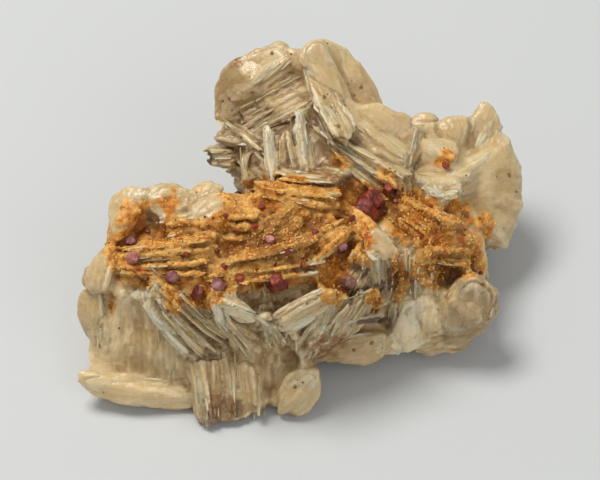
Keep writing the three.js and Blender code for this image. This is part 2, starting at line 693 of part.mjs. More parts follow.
function barytePieces() {
  return [
    ...Object.values(HEARTS).map((points) => hull(points.map(plain))),
    ...SHEAVES.flatMap((spec, index) => sheaf(spec, index + 1)),
    ...PLATES.map(plate),
  ];
}

const largestBody = (solid) => solid.decompose().sort((a, b) => b.volume() - a.volume())[0];

// Edges shorter than this, left where blades cross, are smoothed out of the joined mass.
const SLIVER = 0.6;
function baryte() {
  const mass = largestBody(wasm.Manifold.union(barytePieces()));
  const smooth = largestBody(mass.asOriginal().simplify(SLIVER).subtract(tableCut()));
  const sockets = VANADINITE.map((spec) => crystal(spec, SOCKET_GAP));
  return largestBody(smooth.subtract(wasm.Manifold.union(sockets)));
}

const BARYTE_FINISH = new THREE.MeshStandardMaterial({ color: 0xd8c6a2, roughness: 0.45, metalness: 0 });
const VANADINITE_FINISH = new THREE.MeshStandardMaterial({ color: 0x9c2a24, roughness: 0.2, metalness: 0 });

function named(name, solid, finish) {
  const mesh = new THREE.Mesh(geometryOf(solid), finish);
  mesh.name = name;
  return mesh;
}

const specimen = new THREE.Group();
specimen.add(named("baryte", baryte(), BARYTE_FINISH));
for (const spec of VANADINITE) {
  specimen.add(named(spec.name, crystal(spec), VANADINITE_FINISH));
}

export default specimen;
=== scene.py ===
"""A specimen of bladed baryte with an ochre crust and small red vanadinite crystals, dressed on its frame.

Lengths in the tables are in millimetres. Places on the front are given as they are seen from there:
(across, down, height), with across and down counted from the top left corner of a sheet held in front
of the specimen at life size, and height above the table. The same tables build the frame's solid.
"""
import math

import bpy
import numpy as np
from mathutils import Matrix, Vector
from mathutils.bvhtree import BVHTree


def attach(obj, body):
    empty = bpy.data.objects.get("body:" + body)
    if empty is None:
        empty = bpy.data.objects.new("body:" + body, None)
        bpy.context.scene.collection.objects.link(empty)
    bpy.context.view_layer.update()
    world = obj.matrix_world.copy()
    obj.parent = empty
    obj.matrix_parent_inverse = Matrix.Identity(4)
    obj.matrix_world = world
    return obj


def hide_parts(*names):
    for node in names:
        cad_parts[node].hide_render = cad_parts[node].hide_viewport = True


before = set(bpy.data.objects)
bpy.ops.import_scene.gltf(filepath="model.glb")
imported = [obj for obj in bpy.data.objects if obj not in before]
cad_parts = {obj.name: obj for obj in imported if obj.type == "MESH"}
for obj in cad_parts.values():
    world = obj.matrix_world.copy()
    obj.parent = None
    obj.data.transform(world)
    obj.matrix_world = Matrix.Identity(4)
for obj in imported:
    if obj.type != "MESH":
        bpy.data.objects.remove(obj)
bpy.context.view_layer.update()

MM = 0.001
rng = np.random.default_rng(7)

# The front view, and the point under the middle of the specimen, as in the frame's source.
SHEET = {"width": 120.0, "height": 96.0}
SIGHT = {"elevation": 50.0, "distance": 600.0}
MIDDLE = np.array([1.46, -13.85, 0.0])

ELEVATION = math.radians(SIGHT["elevation"])
RIGHT = np.array([1.0, 0.0, 0.0])
UP = np.array([0.0, 0.0, 1.0])
TO_VIEWER = np.array([0.0, -math.cos(ELEVATION), math.sin(ELEVATION)])
SHEET_UP = np.array([0.0, math.sin(ELEVATION), math.cos(ELEVATION)])


def seen(place):
    """The point that is seen at a place on the sheet and lies at the given height, in millimetres."""
    across, down, height = place
    right = across - SHEET["width"] / 2
    up = SHEET["height"] / 2 - down
    nearer = (height - up * SHEET_UP[2]) / (TO_VIEWER[2] - up * SHEET_UP[2] / SIGHT["distance"])
    shrink = 1 - nearer / SIGHT["distance"]
    return right * shrink * RIGHT + up * shrink * SHEET_UP + nearer * TO_VIEWER - MIDDLE


def plain(place):
    """A point given in plain coordinates, counted from under the middle of the sheet."""
    return np.array(place, float) - MIDDLE


def on_sheet(points):
    """Where points of the specimen are seen on the sheet: columns across and down."""
    moved = points + MIDDLE
    nearer = moved @ TO_VIEWER
    grow = SIGHT["distance"] / (SIGHT["distance"] - nearer)
    across = SHEET["width"] / 2 + moved @ RIGHT * grow
    down = SHEET["height"] / 2 - moved @ SHEET_UP * grow
    return np.stack([across, down], axis=1)


def uneven(seed, index):
    """A repeatable irregularity between -1 and 1, the same as the frame's."""
    wave = math.sin(seed * 12.9898 + index * 78.233) * 43758.5453
    return 2 * (wave - math.floor(wave)) - 1


def turned(vector, axis, angle):
    """vector turned about a unit axis."""
    return (
        vector * math.cos(angle)
        + np.cross(axis, vector) * math.sin(angle)
        + axis * np.dot(axis, vector) * (1 - math.cos(angle))
    )


def unit(vector):
    """The vector at length 1."""
    return vector / np.linalg.norm(vector)


def noise(points, size, seed=0):
    """Smooth value noise between -1 and 1 at points, with lumps of about the given size."""
    scaled = np.asarray(points) / size + seed * 17.31
    base = np.floor(scaled).astype(np.int64)
    part = scaled - base
    part = part * part * (3 - 2 * part)
    total = np.zeros(len(scaled))
    for corner in range(8):
        step = np.array([corner & 1, (corner >> 1) & 1, (corner >> 2) & 1])
        cell = base + step
        mixed = (cell[:, 0] * 73856093) ^ (cell[:, 1] * 19349663) ^ (cell[:, 2] * 83492791)
        value = ((mixed * 2654435761) & 0xFFFF) / 0x7FFF - 1
        weight = np.prod(np.where(step == 1, part, 1 - part), axis=1)
        total += weight * value
    return total


# The tables of the frame's source: sheaves of blades and broad plates.
SHEAVES = [
    # The dome at the back.
    dict(name="lens", root=(58.6, 12.2, 39.5), tip=(45, 23, 32), turn=35, breadth=6, thick=3.4),
    dict(
        name="stack", root=(47.2, 24.4, 31.5), tip=(61.4, 17, 37.5), turn=72, breadth=10, thick=1.9,
        count=4, pitch=1.7, spread=3, blunt=5,
    ),
    dict(
        name="stack_foot", root=(52, 25.4, 32), tip=(62.6, 20.2, 37), turn=50, breadth=3.4, thick=1.4,
        blunt=4,
    ),
    dict(name="left_spire", root=(53.6, 36.6, 30.5), tip=(51.8, 23.2, 36), turn=55, breadth=5, thick=1.5),
    dict(name="right_spire", root=(60.6, 35, 31), tip=(58.6, 20.8, 37.5), turn=55, breadth=5, thick=1.7),
    dict(
        name="between_spires", root=(57, 35.8, 30), tip=(55.6, 25, 35.5), turn=75, breadth=8, thick=1.5,
        count=4, pitch=1.5, spread=14,
    ),
    dict(
        name="lower_fan", root=(49.4, 36.8, 28), tip=(47.8, 29.2, 31.5), turn=75, breadth=8, thick=1.6,
        count=4, pitch=1, spread=50,
    ),
    dict(
        name="left_comb", root=(47.6, 31.8, 27), tip=(40.6, 31.8, 26.5), turn=80, breadth=9, thick=1.5,
        count=3, pitch=1.5, spread=6, blunt=4,
    ),
    dict(name="above_comb", root=(48.6, 29.4, 29.5), tip=(41.6, 28.2, 28), turn=35, breadth=4.6, thick=1.6),
    dict(
        name="left_slant", root=(52, 31.6, 31), tip=(43.4, 23.6, 31.5), turn=68, breadth=8, thick=1.6,
        count=2, pitch=1.7, spread=4,
    ),
    dict(name="ridge", root=(67.4, 28.6, 37), tip=(60, 12.4, 41), turn=28, breadth=6.6, thick=2),
    dict(name="ridge_back", root=(66, 28.6, 34), tip=(62, 18.6, 36), turn=40, breadth=6, thick=2),
    dict(
        name="long_slant", root=(79, 39, 30), tip=(61, 25.4, 35.5), turn=62, breadth=9, thick=1.7, count=4,
        pitch=2, spread=10,
    ),
    dict(
        name="upper_slant", root=(80, 33.6, 31), tip=(70, 25.8, 35), turn=55, breadth=8, thick=1.8, count=2,
        pitch=2.2, spread=6,
    ),
    dict(
        name="dome_sill", root=(68, 38, 31.5), tip=(53.6, 35.4, 31.5), turn=60, breadth=7, thick=1.7,
        count=2, pitch=1.7, spread=8,
    ),
    dict(
        name="upright_pair", root=(79.8, 40, 28.5), tip=(82, 23.2, 34), turn=62, breadth=7, thick=1.4,
        count=2, pitch=1.3, spread=6,
    ),
    # The fan on the right.
    dict(
        name="fan_cheek", root=(87, 36.2, 26.5), tip=(102.4, 28, 21.5), turn=25, breadth=6.6, thick=4.2,
        blunt=2.4,
    ),
    dict(
        name="fan_brow", root=(91, 33.4, 26), tip=(82, 30.4, 28.6), turn=40, breadth=6, thick=2.4, count=2,
        pitch=2.4, spread=6,
    ),
    dict(
        name="fan", root=(89.4, 37.8, 24.5), tip=(108.2, 38.8, 17), turn=88, breadth=16, thick=2.9,
        count=10, pitch=0.2, spread=78, blunt=4,
    ),
    dict(
        name="fan_skirt", root=(91, 40.4, 24), tip=(102, 46.6, 15.5), turn=74, breadth=9, thick=2, count=3,
        pitch=1.2, spread=22,
    ),
    dict(
        name="fan_tuft", root=(93, 40.4, 25), tip=(84.8, 39.8, 28), turn=60, breadth=7, thick=2.1, count=3,
        pitch=1.3, spread=34,
    ),
    dict(
        name="fan_sill", root=(95.4, 36.4, 25), tip=(84, 35.8, 28.5), turn=65, breadth=6, thick=1.4,
        count=2, pitch=1.2, spread=5,
    ),
    # The right block under the fan.
    dict(
        name="crusted_slant", root=(90, 48.4, 26), tip=(76.6, 40, 30), turn=78, breadth=7, thick=1.6,
        count=4, pitch=2, spread=8,
    ),
    dict(
        name="crusted_rows", root=(96, 50.6, 22), tip=(85, 51, 25.5), turn=74, breadth=6, thick=1.7,
        count=3, pitch=2.4, spread=16,
    ),
    dict(
        name="right_rim", root=(93, 40.8, 23.5), tip=(98.6, 57.6, 11.5), turn=62, breadth=10, thick=1.9,
        count=4, pitch=1.5, spread=10, blunt=3,
    ),
    dict(
        name="pleats", root=(84.4, 63.6, 12), tip=(82.4, 50.6, 27), turn=65, breadth=10, thick=1.6, count=4,
        pitch=1.6, spread=10,
    ),
    dict(
        name="side_pleats", root=(77.6, 69.6, 4.5), tip=(80, 53, 23.5), turn=60, breadth=10, thick=1.9,
        count=2, pitch=1.9, spread=4,
    ),
    dict(
        name="cross_bars", root=(78, 62.2, 17.5), tip=(67.4, 63.6, 20.5), turn=45, breadth=6, thick=2.2,
        count=2, pitch=2.6, spread=4,
    ),
    dict(
        name="low_bars", root=(67, 69.4, 9.5), tip=(58.6, 71.6, 9), turn=60, breadth=6, thick=1.4, count=2,
        pitch=1.6, spread=10,
    ),
    # The V of blades in the middle of the front.
    dict(
        name="v_left", root=(55.6, 71.4, 12.5), tip=(52, 61.4, 25.5), turn=68, breadth=9, thick=1.7,
        count=3, pitch=1.7, spread=7,
    ),
    dict(
        name="v_right", root=(57, 71, 13), tip=(66.6, 58.6, 28), turn=70, breadth=9, thick=1.8, count=3,
        pitch=2, spread=8,
    ),
    dict(
        name="v_inside", root=(57.4, 68.8, 16), tip=(58.6, 62, 23.5), turn=72, breadth=7, thick=1.5,
        count=2, pitch=1.7, spread=18,
    ),
    dict(
        name="v_outside", root=(61.6, 69, 14), tip=(70, 58.8, 28.5), turn=60, breadth=10, thick=1.8,
        count=2, pitch=2.2, spread=6,
    ),
    dict(
        name="v_roof", root=(54, 64, 25), tip=(66.4, 57.2, 30.5), turn=65, breadth=8, thick=1.6, count=2,
        pitch=1.8, spread=6,
    ),
    dict(
        name="v_eave", root=(44, 58.4, 29.5), tip=(52.8, 63, 26.5), turn=68, breadth=8, thick=1.7, count=2,
        pitch=2, spread=10,
    ),
    dict(
        name="rear_rows", root=(67, 42.4, 32.5), tip=(50, 38.8, 33), turn=74, breadth=8, thick=1.6, count=3,
        pitch=2.4, spread=12,
    ),
    dict(name="glint", root=(43.6, 65.6, 21), tip=(41.8, 58.8, 29.5), turn=50, breadth=4, thick=1.6),
    # The front of the left block.
    dict(name="white_blade", root=(39, 73.4, 8.5), tip=(26.6, 59.6, 27.5), turn=42, breadth=6, thick=1.9),
    dict(
        name="front_slant", root=(44.6, 71.6, 11.5), tip=(31, 59, 29), turn=68, breadth=9, thick=2, count=4,
        pitch=2.1, spread=6,
    ),
    dict(
        name="middle_slant", root=(51, 71.4, 12.5), tip=(41.2, 60.2, 27.5), turn=68, breadth=9, thick=2,
        count=3, pitch=2.1, spread=8,
    ),
    dict(name="front_post", root=(38.4, 77.6, 3.5), tip=(38.2, 67, 12.5), turn=45, breadth=5, thick=1.8),
    dict(
        name="left_wall", root=(28, 79.4, 3), tip=(27.4, 62.8, 19), turn=80, breadth=10, thick=2.6, count=8,
        pitch=2.15, spread=6, blunt=3,
    ),
    dict(
        name="left_knob", root=(25, 72.8, 8), tip=(15.3, 72.7, 7.5), turn=55, breadth=7, thick=3.4,
        blunt=2.6,
    ),
    # The crusted top of the left block.
    dict(
        name="left_rows", root=(43, 51.6, 32), tip=(22, 53, 29), turn=80, breadth=8, thick=1.6, count=4,
        pitch=2.3, spread=8,
    ),
    dict(
        name="back_rows", root=(52, 46, 33.5), tip=(30, 45.4, 32), turn=80, breadth=8, thick=1.6, count=3,
        pitch=2.4, spread=10,
    ),
    dict(
        name="middle_rows", root=(66, 51, 32.5), tip=(43.6, 55.4, 32.5), turn=80, breadth=9, thick=1.6,
        count=4, pitch=2.2, spread=10,
    ),
    dict(
        name="back_slant", root=(53, 48.4, 33), tip=(60.4, 40.2, 34.5), turn=76, breadth=8, thick=1.6,
        count=4, pitch=2.2, spread=14,
    ),
    dict(
        name="right_rows", root=(61, 50.4, 33), tip=(71.4, 43, 33.5), turn=76, breadth=9, thick=1.6,
        count=3, pitch=2.2, spread=10,
    ),
    dict(
        name="right_flank", root=(63.6, 66, 18.5), tip=(73, 50, 31), turn=60, breadth=11, thick=1.9,
        count=3, pitch=1.9, spread=8,
    ),
    # The foot of the front.
    dict(
        name="foot_pleats", root=(47, 71, 12), tip=(46.8, 87.2, 0.5), turn=72, breadth=9, thick=2.5,
        count=7, pitch=2.4, spread=16, blunt=3,
    ),
    dict(
        name="foot_band", root=(51.6, 72.6, 12), tip=(52.6, 85, 2), turn=50, breadth=6, thick=2.6, blunt=4,
    ),
    # The back, in plain coordinates, looked at from above.
    dict(
        name="rear_left", plain=True, root=(-21, -22, 27), tip=(-33, -6, 20), turn=90, breadth=24,
        thick=3.8, count=5, pitch=0.6, spread=84, blunt=3,
    ),
    dict(
        name="rear_notch", plain=True, root=(-6, -16, 26), tip=(-12, 0, 18), turn=90, breadth=22, thick=3.4,
        count=4, pitch=2.8, spread=40, blunt=3,
    ),
    dict(
        name="dome_side", plain=True, root=(-3, 8, 28), tip=(-19, 7, 19), turn=90, breadth=22, thick=3.8,
        count=4, pitch=1.2, spread=66, blunt=3,
    ),
    dict(
        name="dome_rear", plain=True, root=(1, 8, 32), tip=(-5, 23.6, 19), turn=90, breadth=24, thick=3.8,
        count=4, pitch=1.2, spread=60, blunt=3,
    ),
    dict(
        name="dome_rear_right", plain=True, root=(6, 8, 31), tip=(13, 23, 17), turn=90, breadth=22,
        thick=3.6, count=4, pitch=1.4, spread=56, blunt=3,
    ),
    dict(
        name="fan_rear", plain=True, root=(25, 2, 21), tip=(33, 19, 13), turn=90, breadth=17, thick=3.8,
        count=4, pitch=1.3, spread=80, blunt=3,
    ),
]

# grain is the direction of a plate's fine ribs on the sheet, in degrees from across, turning up.
PLATES = [
    dict(
        name="dome_cheek", at=(48, 17, 34.5), yaw=-20, lean=5, thick=4, grain=40,
        outline=[
            (42.4, 23.8), (42.4, 20), (42.9, 16.8), (44.6, 14.2), (46.8, 12.2), (50, 10.4), (53, 9.7),
            (57, 9.4), (58.6, 12.2), (52.6, 17.6), (48, 21.6), (45.4, 24),
        ],
    ),
    dict(
        name="dome_crest", at=(55.4, 10, 39.5), thick=3, grain=30,
        outline=[
            (52.4, 9.8), (54, 8.6), (56, 8), (57.2, 8.8), (58.6, 10.4), (57, 12.6), (53.6, 12),
        ],
    ),
    dict(
        name="dome_saddle", at=(60.6, 12, 39.5), thick=3.4, grain=80,
        outline=[
            (57.4, 9.7), (60, 9.5), (62.4, 9.6), (64, 12), (62, 15), (58.4, 13.6),
        ],
    ),
    dict(
        name="dome_brow", at=(66, 16, 40), yaw=10, thick=3.4, grain=-62,
        outline=[
            (60.4, 9.6), (61.6, 8.2), (63.6, 8.2), (64.8, 7.8), (66.6, 12), (69, 17.6), (70.4, 20.8),
            (72.4, 23.2), (71.2, 25.2), (69.2, 26.4), (67, 23.6), (64.2, 18), (62.2, 14.4), (60, 12.2),
        ],
    ),
    dict(
        name="dome_temple", at=(70, 15, 37), yaw=18, thick=3.6, grain=-58,
        outline=[
            (64.4, 7.8), (66.4, 8.4), (69, 9.8), (71.4, 12), (72.4, 14.2), (74.4, 16.8), (76.8, 20.4),
            (76.8, 21.2), (74.4, 22.6), (72.8, 23.6), (70.4, 20.8), (66.8, 12.6),
        ],
    ),
    dict(
        name="dome_shoulder", at=(75, 24, 34), yaw=10, thick=4, grain=-35,
        outline=[
            (70.8, 21.4), (74.4, 20), (77.2, 21.2), (80, 22.6), (82.4, 23.2), (82.4, 26), (80.6, 29.2),
            (76.4, 28.4), (72.4, 27), (70, 25.4),
        ],
    ),
    dict(
        name="fan_crown_left", at=(84.6, 27, 28), thick=4, grain=70,
        outline=[
            (80.6, 25.4), (82.4, 24.6), (84.8, 24.8), (86.8, 24.2), (87.2, 28.4), (85, 30.4), (81, 30),
        ],
    ),
    dict(
        name="fan_crown", at=(90, 26, 27.4), thick=4, grain=75,
        outline=[
            (86.6, 24.4), (88.2, 24), (90.4, 23), (92.4, 22.8), (93.8, 23.4), (93.6, 26), (93, 29.4),
            (89.6, 30.4), (86.6, 29),
        ],
    ),
    dict(
        name="fan_crown_right", at=(96, 25, 25.6), yaw=10, thick=4, grain=60,
        outline=[
            (93.2, 23.6), (94.6, 23.2), (96.4, 20.8), (97.6, 20.4), (99, 21.8), (100, 24), (100.6, 26),
            (99, 28.8), (96, 29.4), (93.2, 29.6),
        ],
    ),
    dict(
        name="fan_horn", at=(97.6, 23, 26.6), yaw=10, thick=4, grain=70,
        outline=[
            (94.2, 23.2), (95, 21.4), (96.2, 20), (97.6, 20.1), (98.6, 21.2), (99.8, 23.2), (100.2, 25.4),
            (99.4, 26.4), (97.6, 25.4),
        ],
    ),
    dict(
        name="fan_back", at=(84.8, 24, 19), lean=10, thick=6, grain=0,
        outline=[
            (81.8, 23.2), (83, 22.6), (84.4, 22.4), (86.6, 23), (87.8, 24), (86.4, 26.6), (84, 27),
            (82, 25.6),
        ],
    ),
    dict(
        name="right_face", at=(93, 61, 14.5), lean=-25, thick=6, grain=80,
        outline=[
            (88, 60), (91, 57), (94, 54.6), (97.6, 56), (99.3, 58), (99.1, 60), (97.6, 64.4), (94, 67),
            (89, 67), (87.4, 63),
        ],
    ),
    dict(
        name="right_base", at=(90, 68, 5.5), lean=-30, thick=6, grain=25,
        outline=[
            (82.4, 70.4), (84, 69), (89, 66), (94, 63), (98.8, 60.6), (99.2, 62), (98.4, 64.2),
            (95.4, 66.8), (92.2, 69.8), (89, 70.4), (85, 71.4),
        ],
    ),
    dict(
        name="pale_front", at=(81.6, 66, 9.5), lean=-30, thick=3.4, grain=80,
        outline=[
            (80.4, 60.4), (82.4, 60), (84.8, 61.2), (86, 64), (86, 67.2), (84.6, 69.2), (83.8, 70.4),
            (81, 71), (79, 71.2), (76.4, 71.8), (77.2, 68), (78.8, 64),
        ],
    ),
    dict(
        name="pale_side", at=(86.4, 64, 12), lean=-28, thick=3.4, grain=85,
        outline=[
            (83.2, 60.4), (85, 59.6), (87.2, 60), (88, 63), (88.8, 65.6), (89, 67), (86.4, 68),
            (84.8, 68.2),
        ],
    ),
    dict(
        name="ribbed_plate", at=(75, 47, 32.5), lean=10, thick=2.6, grain=-48,
        outline=[
            (70, 41.2), (72.4, 42.4), (75.2, 45.2), (78, 47.6), (80, 50), (79.2, 52.4), (76, 52.4),
            (72.8, 49), (71.2, 45.6),
        ],
    ),
    dict(
        name="spotted_plate", at=(70, 70, 6.5), lean=-30, thick=4, grain=20,
        outline=[
            (63.8, 70.4), (66, 68.4), (69, 67), (73, 66.2), (77.6, 66.4), (77.6, 69), (76.8, 71.4),
            (75.6, 72.4), (73.2, 73.2), (70.4, 72.8), (67, 72.6), (65, 72.4),
        ],
    ),
    dict(
        name="foot_plate", at=(60, 79, 5), lean=-28, thick=5, grain=60,
        outline=[
            (56.6, 75.6), (60, 73.2), (63.6, 73.6), (64.4, 76), (64.2, 78), (62.4, 80.4), (61.6, 82.2),
            (59.6, 84), (57.4, 83), (55.6, 83), (55.4, 80), (56, 77.6),
        ],
    ),
    dict(
        name="left_sole", at=(26, 78.6, 4), lean=-30, thick=4.4, grain=-8,
        outline=[
            (15.8, 74.4), (19, 74.2), (21, 75.4), (26, 75.8), (29, 76.4), (32, 77), (36.6, 78.2),
            (39.4, 79.6), (39, 81.8), (34, 81.4), (28, 80.8), (23, 80.6), (20, 79.6), (17.4, 78.4),
            (15.8, 76.4),
        ],
    ),
    dict(
        name="left_brow", at=(24.6, 43, 30), yaw=-25, lean=12, thick=4, grain=60,
        outline=[
            (22.4, 39), (25, 37.6), (27, 37.2), (30, 38), (28, 42), (25.6, 45.6), (23.6, 48), (21.6, 50),
            (20.2, 50.2), (21.8, 46), (22, 42),
        ],
    ),
    dict(
        name="left_shoulder", at=(19.6, 54, 23.5), yaw=-35, thick=4.6, grain=70,
        outline=[
            (20.2, 50), (23, 48.6), (22.6, 53), (21, 58), (18, 59), (16.8, 58), (16.6, 56), (18, 53.6),
        ],
    ),
    dict(
        name="left_cheek", at=(18.4, 63, 14), yaw=-38, lean=-20, thick=5, grain=85,
        outline=[
            (17, 57.4), (20.6, 57), (21.4, 62), (20, 68), (18, 69.4), (16.8, 67), (15.8, 63), (16, 61),
        ],
    ),
    dict(
        name="back_edge_left", at=(34, 39.4, 32.6), lean=15, thick=4, grain=10,
        outline=[
            (28.6, 38.2), (30, 37), (32, 36.6), (35, 36.4), (37.2, 37.8), (38, 39.4), (36, 42.4),
            (33, 43.4), (30, 42.4),
        ],
    ),
    dict(
        name="back_edge", at=(41.6, 38.6, 33), lean=15, thick=4, grain=15,
        outline=[
            (37.6, 38.4), (40, 36.6), (42.6, 36.6), (45, 37.4), (44, 42), (39, 42.4),
        ],
    ),
    dict(
        name="bare_patch", at=(43, 42, 34), lean=20, thick=3, grain=20,
        outline=[
            (38, 41), (43, 38.6), (47, 39), (47.4, 41.6), (44, 45), (39.4, 45.2),
        ],
    ),
]

# Blades under the ribbed plate, out of sight, that carry it. They aren't in the frame.
PROPS = [
    dict(
        name="prop_front", plain=True, free=True, root=(12.6, -28.6, 22), tip=(13.4, -27.6, 31.4),
        turn=90, breadth=6, thick=2.4, count=3, pitch=2.1, spread=8,
    ),
    dict(
        name="prop_back", plain=True, free=True, root=(15, -23.8, 22), tip=(14.6, -24.4, 31.6),
        turn=90, breadth=6, thick=2.4, count=3, pitch=2.2, spread=10,
    ),
]


class Bulk:
    """Many closed forms gathered together. Each form keeps its own grain: an origin and three axes."""

    def __init__(self):
        self.points = []
        self.faces = []
        self.face_form = []
        self.forms = []
        self.tones = []
        self.count = 0

    def add(self, points, faces, form=None, tone=0.0):
        """Adds one closed form, with faces counted from its own first point."""
        self.points.append(points)
        self.faces.extend([tuple(i + self.count for i in face) for face in faces])
        self.face_form.extend([len(self.forms)] * len(faces))
        self.forms.append(form)
        self.tones.append(np.full(len(points), tone))
        self.count += len(points)

    def cloud(self):
        """All the points as one array."""
        return np.concatenate(self.points)


def mesh_object(name, points, faces, materials=(), smooth=True, **values):
    """A mesh object from points in millimetres, with values for each corner."""
    mesh = bpy.data.meshes.new(name)
    points = np.array(points)
    points[:, 2] = np.maximum(points[:, 2], 0.0)
    mesh.from_pydata((points * MM).tolist(), [], faces if isinstance(faces, list) else faces.tolist())
    for key, data in values.items():
        data = np.asarray(data, np.float32)
        if data.ndim == 2:
            mesh.attributes.new(key, "FLOAT_VECTOR", "POINT").data.foreach_set("vector", data.ravel())
        else:
            mesh.attributes.new(key, "FLOAT", "POINT").data.foreach_set("value", data)
    if smooth:
        mesh.shade_smooth()
    for material in materials:
        mesh.materials.append(material)
    piece = bpy.data.objects.new(name, mesh)
    bpy.context.scene.collection.objects.link(piece)
    return piece


def remeshed(points, faces, voxel):
    """The outer surface of the forms taken together, as points and quads of about the given size."""
    piece = mesh_object("working", points, faces, smooth=False)
    remesh = piece.modifiers.new("voxels", "REMESH")
    remesh.mode = "VOXEL"
    remesh.voxel_size = voxel * MM
    evaluated = piece.evaluated_get(bpy.context.evaluated_depsgraph_get())
    mesh = evaluated.to_mesh()
    new_points = np.empty(len(mesh.vertices) * 3)
    mesh.vertices.foreach_get("co", new_points)
    corners = np.empty(len(mesh.loops), np.int64)
    mesh.loops.foreach_get("vertex_index", corners)
    evaluated.to_mesh_clear()
    bpy.data.objects.remove(piece, do_unlink=True)
    return new_points.reshape(-1, 3) / MM, corners.reshape(-1, 4)


def summed(indices, values, count):
    """The sum of the rows of values that belong to each index."""
    return np.stack([np.bincount(indices, values[:, k], count) for k in range(3)], axis=1)


def quad_normals(points, quads):
    """Area-weighted normals at the points."""
    flat = np.cross(points[quads[:, 2]] - points[quads[:, 0]], points[quads[:, 3]] - points[quads[:, 1]])
    total = sum(summed(quads[:, k], flat, len(points)) for k in range(4))
    return total / np.maximum(np.linalg.norm(total, axis=1, keepdims=True), 1e-9)


def neighbour_mean(values, quads):
    """The mean of each point's neighbours along the edges."""
    ends = np.concatenate([quads, np.roll(quads, 1, axis=1)]).ravel()
    others = np.concatenate([np.roll(quads, -1, axis=1), quads]).ravel()
    share = np.bincount(ends, minlength=len(values)).astype(float)
    if values.ndim == 2:
        return summed(ends, values[others], len(values)) / share[:, None]
    return np.bincount(ends, values[others], len(values)) / share


# One blade's outline, as in the frame's source.
SHOULDER = 0.45
ROOT_SHARE = 0.62


def half_breadth(share, blunt):
    """The outline's half breadth, of 1 at most, at a share of the blade's length."""
    rising = ROOT_SHARE + (1 - ROOT_SHARE) * np.sin(np.pi / 2 * np.minimum(share / SHOULDER, 1))
    past = np.clip((share - SHOULDER) / (1 - SHOULDER), 0, 1)
    return np.where(share < SHOULDER, rising, (1 - past**blunt) ** (1 / blunt))


def ring_faces(rings, around):
    """Quads between rings of points, and a fan at each end closed on the last two points."""
    faces = []
    for i in range(rings - 1):
        for j in range(around):
            k = (j + 1) % around
            faces.append((i * around + j, i * around + k, (i + 1) * around + k, (i + 1) * around + j))
    first = rings * around
    last = first + 1
    for j in range(around):
        k = (j + 1) % around
        faces.append((first, k, j))
        faces.append((last, (rings - 1) * around + j, (rings - 1) * around + k))
    return faces


# The cross-section of a leaf: flat faces, bevelled to a thin rim.
LEAF_SIDE = np.array([1, 0.8, 0.3, -0.3, -0.8, -1, -0.8, -0.3, 0.3, 0.8])
LEAF_LIFT = np.array([0, 0.85, 1, 1, 0.85, 0, -0.85, -1, -1, -0.85])
LEAF_AROUND = len(LEAF_SIDE)
LEAF_RINGS = 13
ROOT_TAPER = 0.14
SHORTEST = 1.5
# How much of a leaf's rim is ragged, in millimetres at most and as a share of its breadth.
RAGGED_MOST = 0.35
RAGGED_SHARE = 0.12
RAGGED_SIZE = 1.5
TIP_THINNING = 0.45
SWAY = 0.02
OFFSETS = (0, 500)
LEAF_FACES = ring_faces(LEAF_RINGS, LEAF_AROUND)


def leaf(bulk, root, along, across, normal, length, breadth, thick, blunt, pale, strewn=1.0):
    """One thin crystal leaf with a bevelled, slightly ragged rim.

    strewn is how readily small blades are set along it later.
    """
    if length < SHORTEST:
        return
    share = 0.5 - 0.5 * np.cos(np.linspace(0.15, 0.985, LEAF_RINGS) * np.pi)
    share = (share - share[0]) / (0.998 - share[0])
    offset = rng.uniform(*OFFSETS, 3)
    taper = np.sqrt(np.clip(share / ROOT_TAPER, 0.02, 1))
    half = half_breadth(share, blunt) * breadth / 2 * taper
    level = np.zeros(LEAF_RINGS)
    near = noise(np.stack([share * length, level, level], 1) + offset, RAGGED_SIZE)
    far = noise(np.stack([share * length, level + 9, level], 1) + offset, RAGGED_SIZE)
    ragged = np.where(LEAF_SIDE[None, :] > 0, near[:, None], far[:, None])
    ragged *= min(RAGGED_MOST, RAGGED_SHARE * breadth)
    thin = (1 - TIP_THINNING * share**4) * taper
    sway = rng.uniform(-1, 1) * SWAY * length * share**2
    u = share[:, None] * length + np.zeros(LEAF_AROUND)
    v = (half[:, None] + ragged * (half[:, None] > 0.4)) * LEAF_SIDE[None, :]
    w = LEAF_LIFT[None, :] * thick / 2 * thin[:, None] + sway[:, None]
    grid = root + u[..., None] * along + v[..., None] * across + w[..., None] * normal
    ends = np.stack([root - along * 0.1, grid[-1].mean(0) + along * 0.02 * thick])
    bulk.add(
        np.concatenate([grid.reshape(-1, 3), ends]),
        LEAF_FACES,
        (root, across, along, normal, offset, rng.uniform(0, 1), pale, strewn),
    )


# The frame's own surface, so that nothing stands out from it by more than a little.
def frame_surface():
    """The frame's baryte solid in millimetres: points, faces and a tree to measure against."""
    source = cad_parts["baryte"].data
    points = np.empty(len(source.vertices) * 3)
    source.vertices.foreach_get("co", points)
    points = points.reshape(-1, 3) / MM
    faces = [tuple(face.vertices) for face in source.polygons]
    return points, faces, BVHTree.FromPolygons(points.tolist(), faces)


cad_points, cad_faces, cad_tree = frame_surface()
PROBE = Vector((0.31, 0.17, 0.93)).normalized()


def is_inside(point):
    """Whether a point lies in the frame's solid: a ray from it then leaves an odd number of times."""
    start = Vector(point)
    crossings = 0
    hit = cad_tree.ray_cast(start, PROBE)[0]
    while hit is not None:
        crossings += 1
        hit = cad_tree.ray_cast(hit + PROBE * 0.001, PROBE)[0]
    return crossings % 2 == 1


def proud_of(point):
    """How far a point stands out of the frame's surface, negative inside it."""
    distance = cad_tree.find_nearest(Vector(point))[3]
    return -distance if is_inside(point) else distance


MOST_PROUD = 0.4
FITTING_TRIES = 8
FITTING_SHARE = 0.88
# The tips of calm forms end inside the frame's surface, so that their outline stays smooth.
CALM_PROUD = -0.5
CALM = 0.4


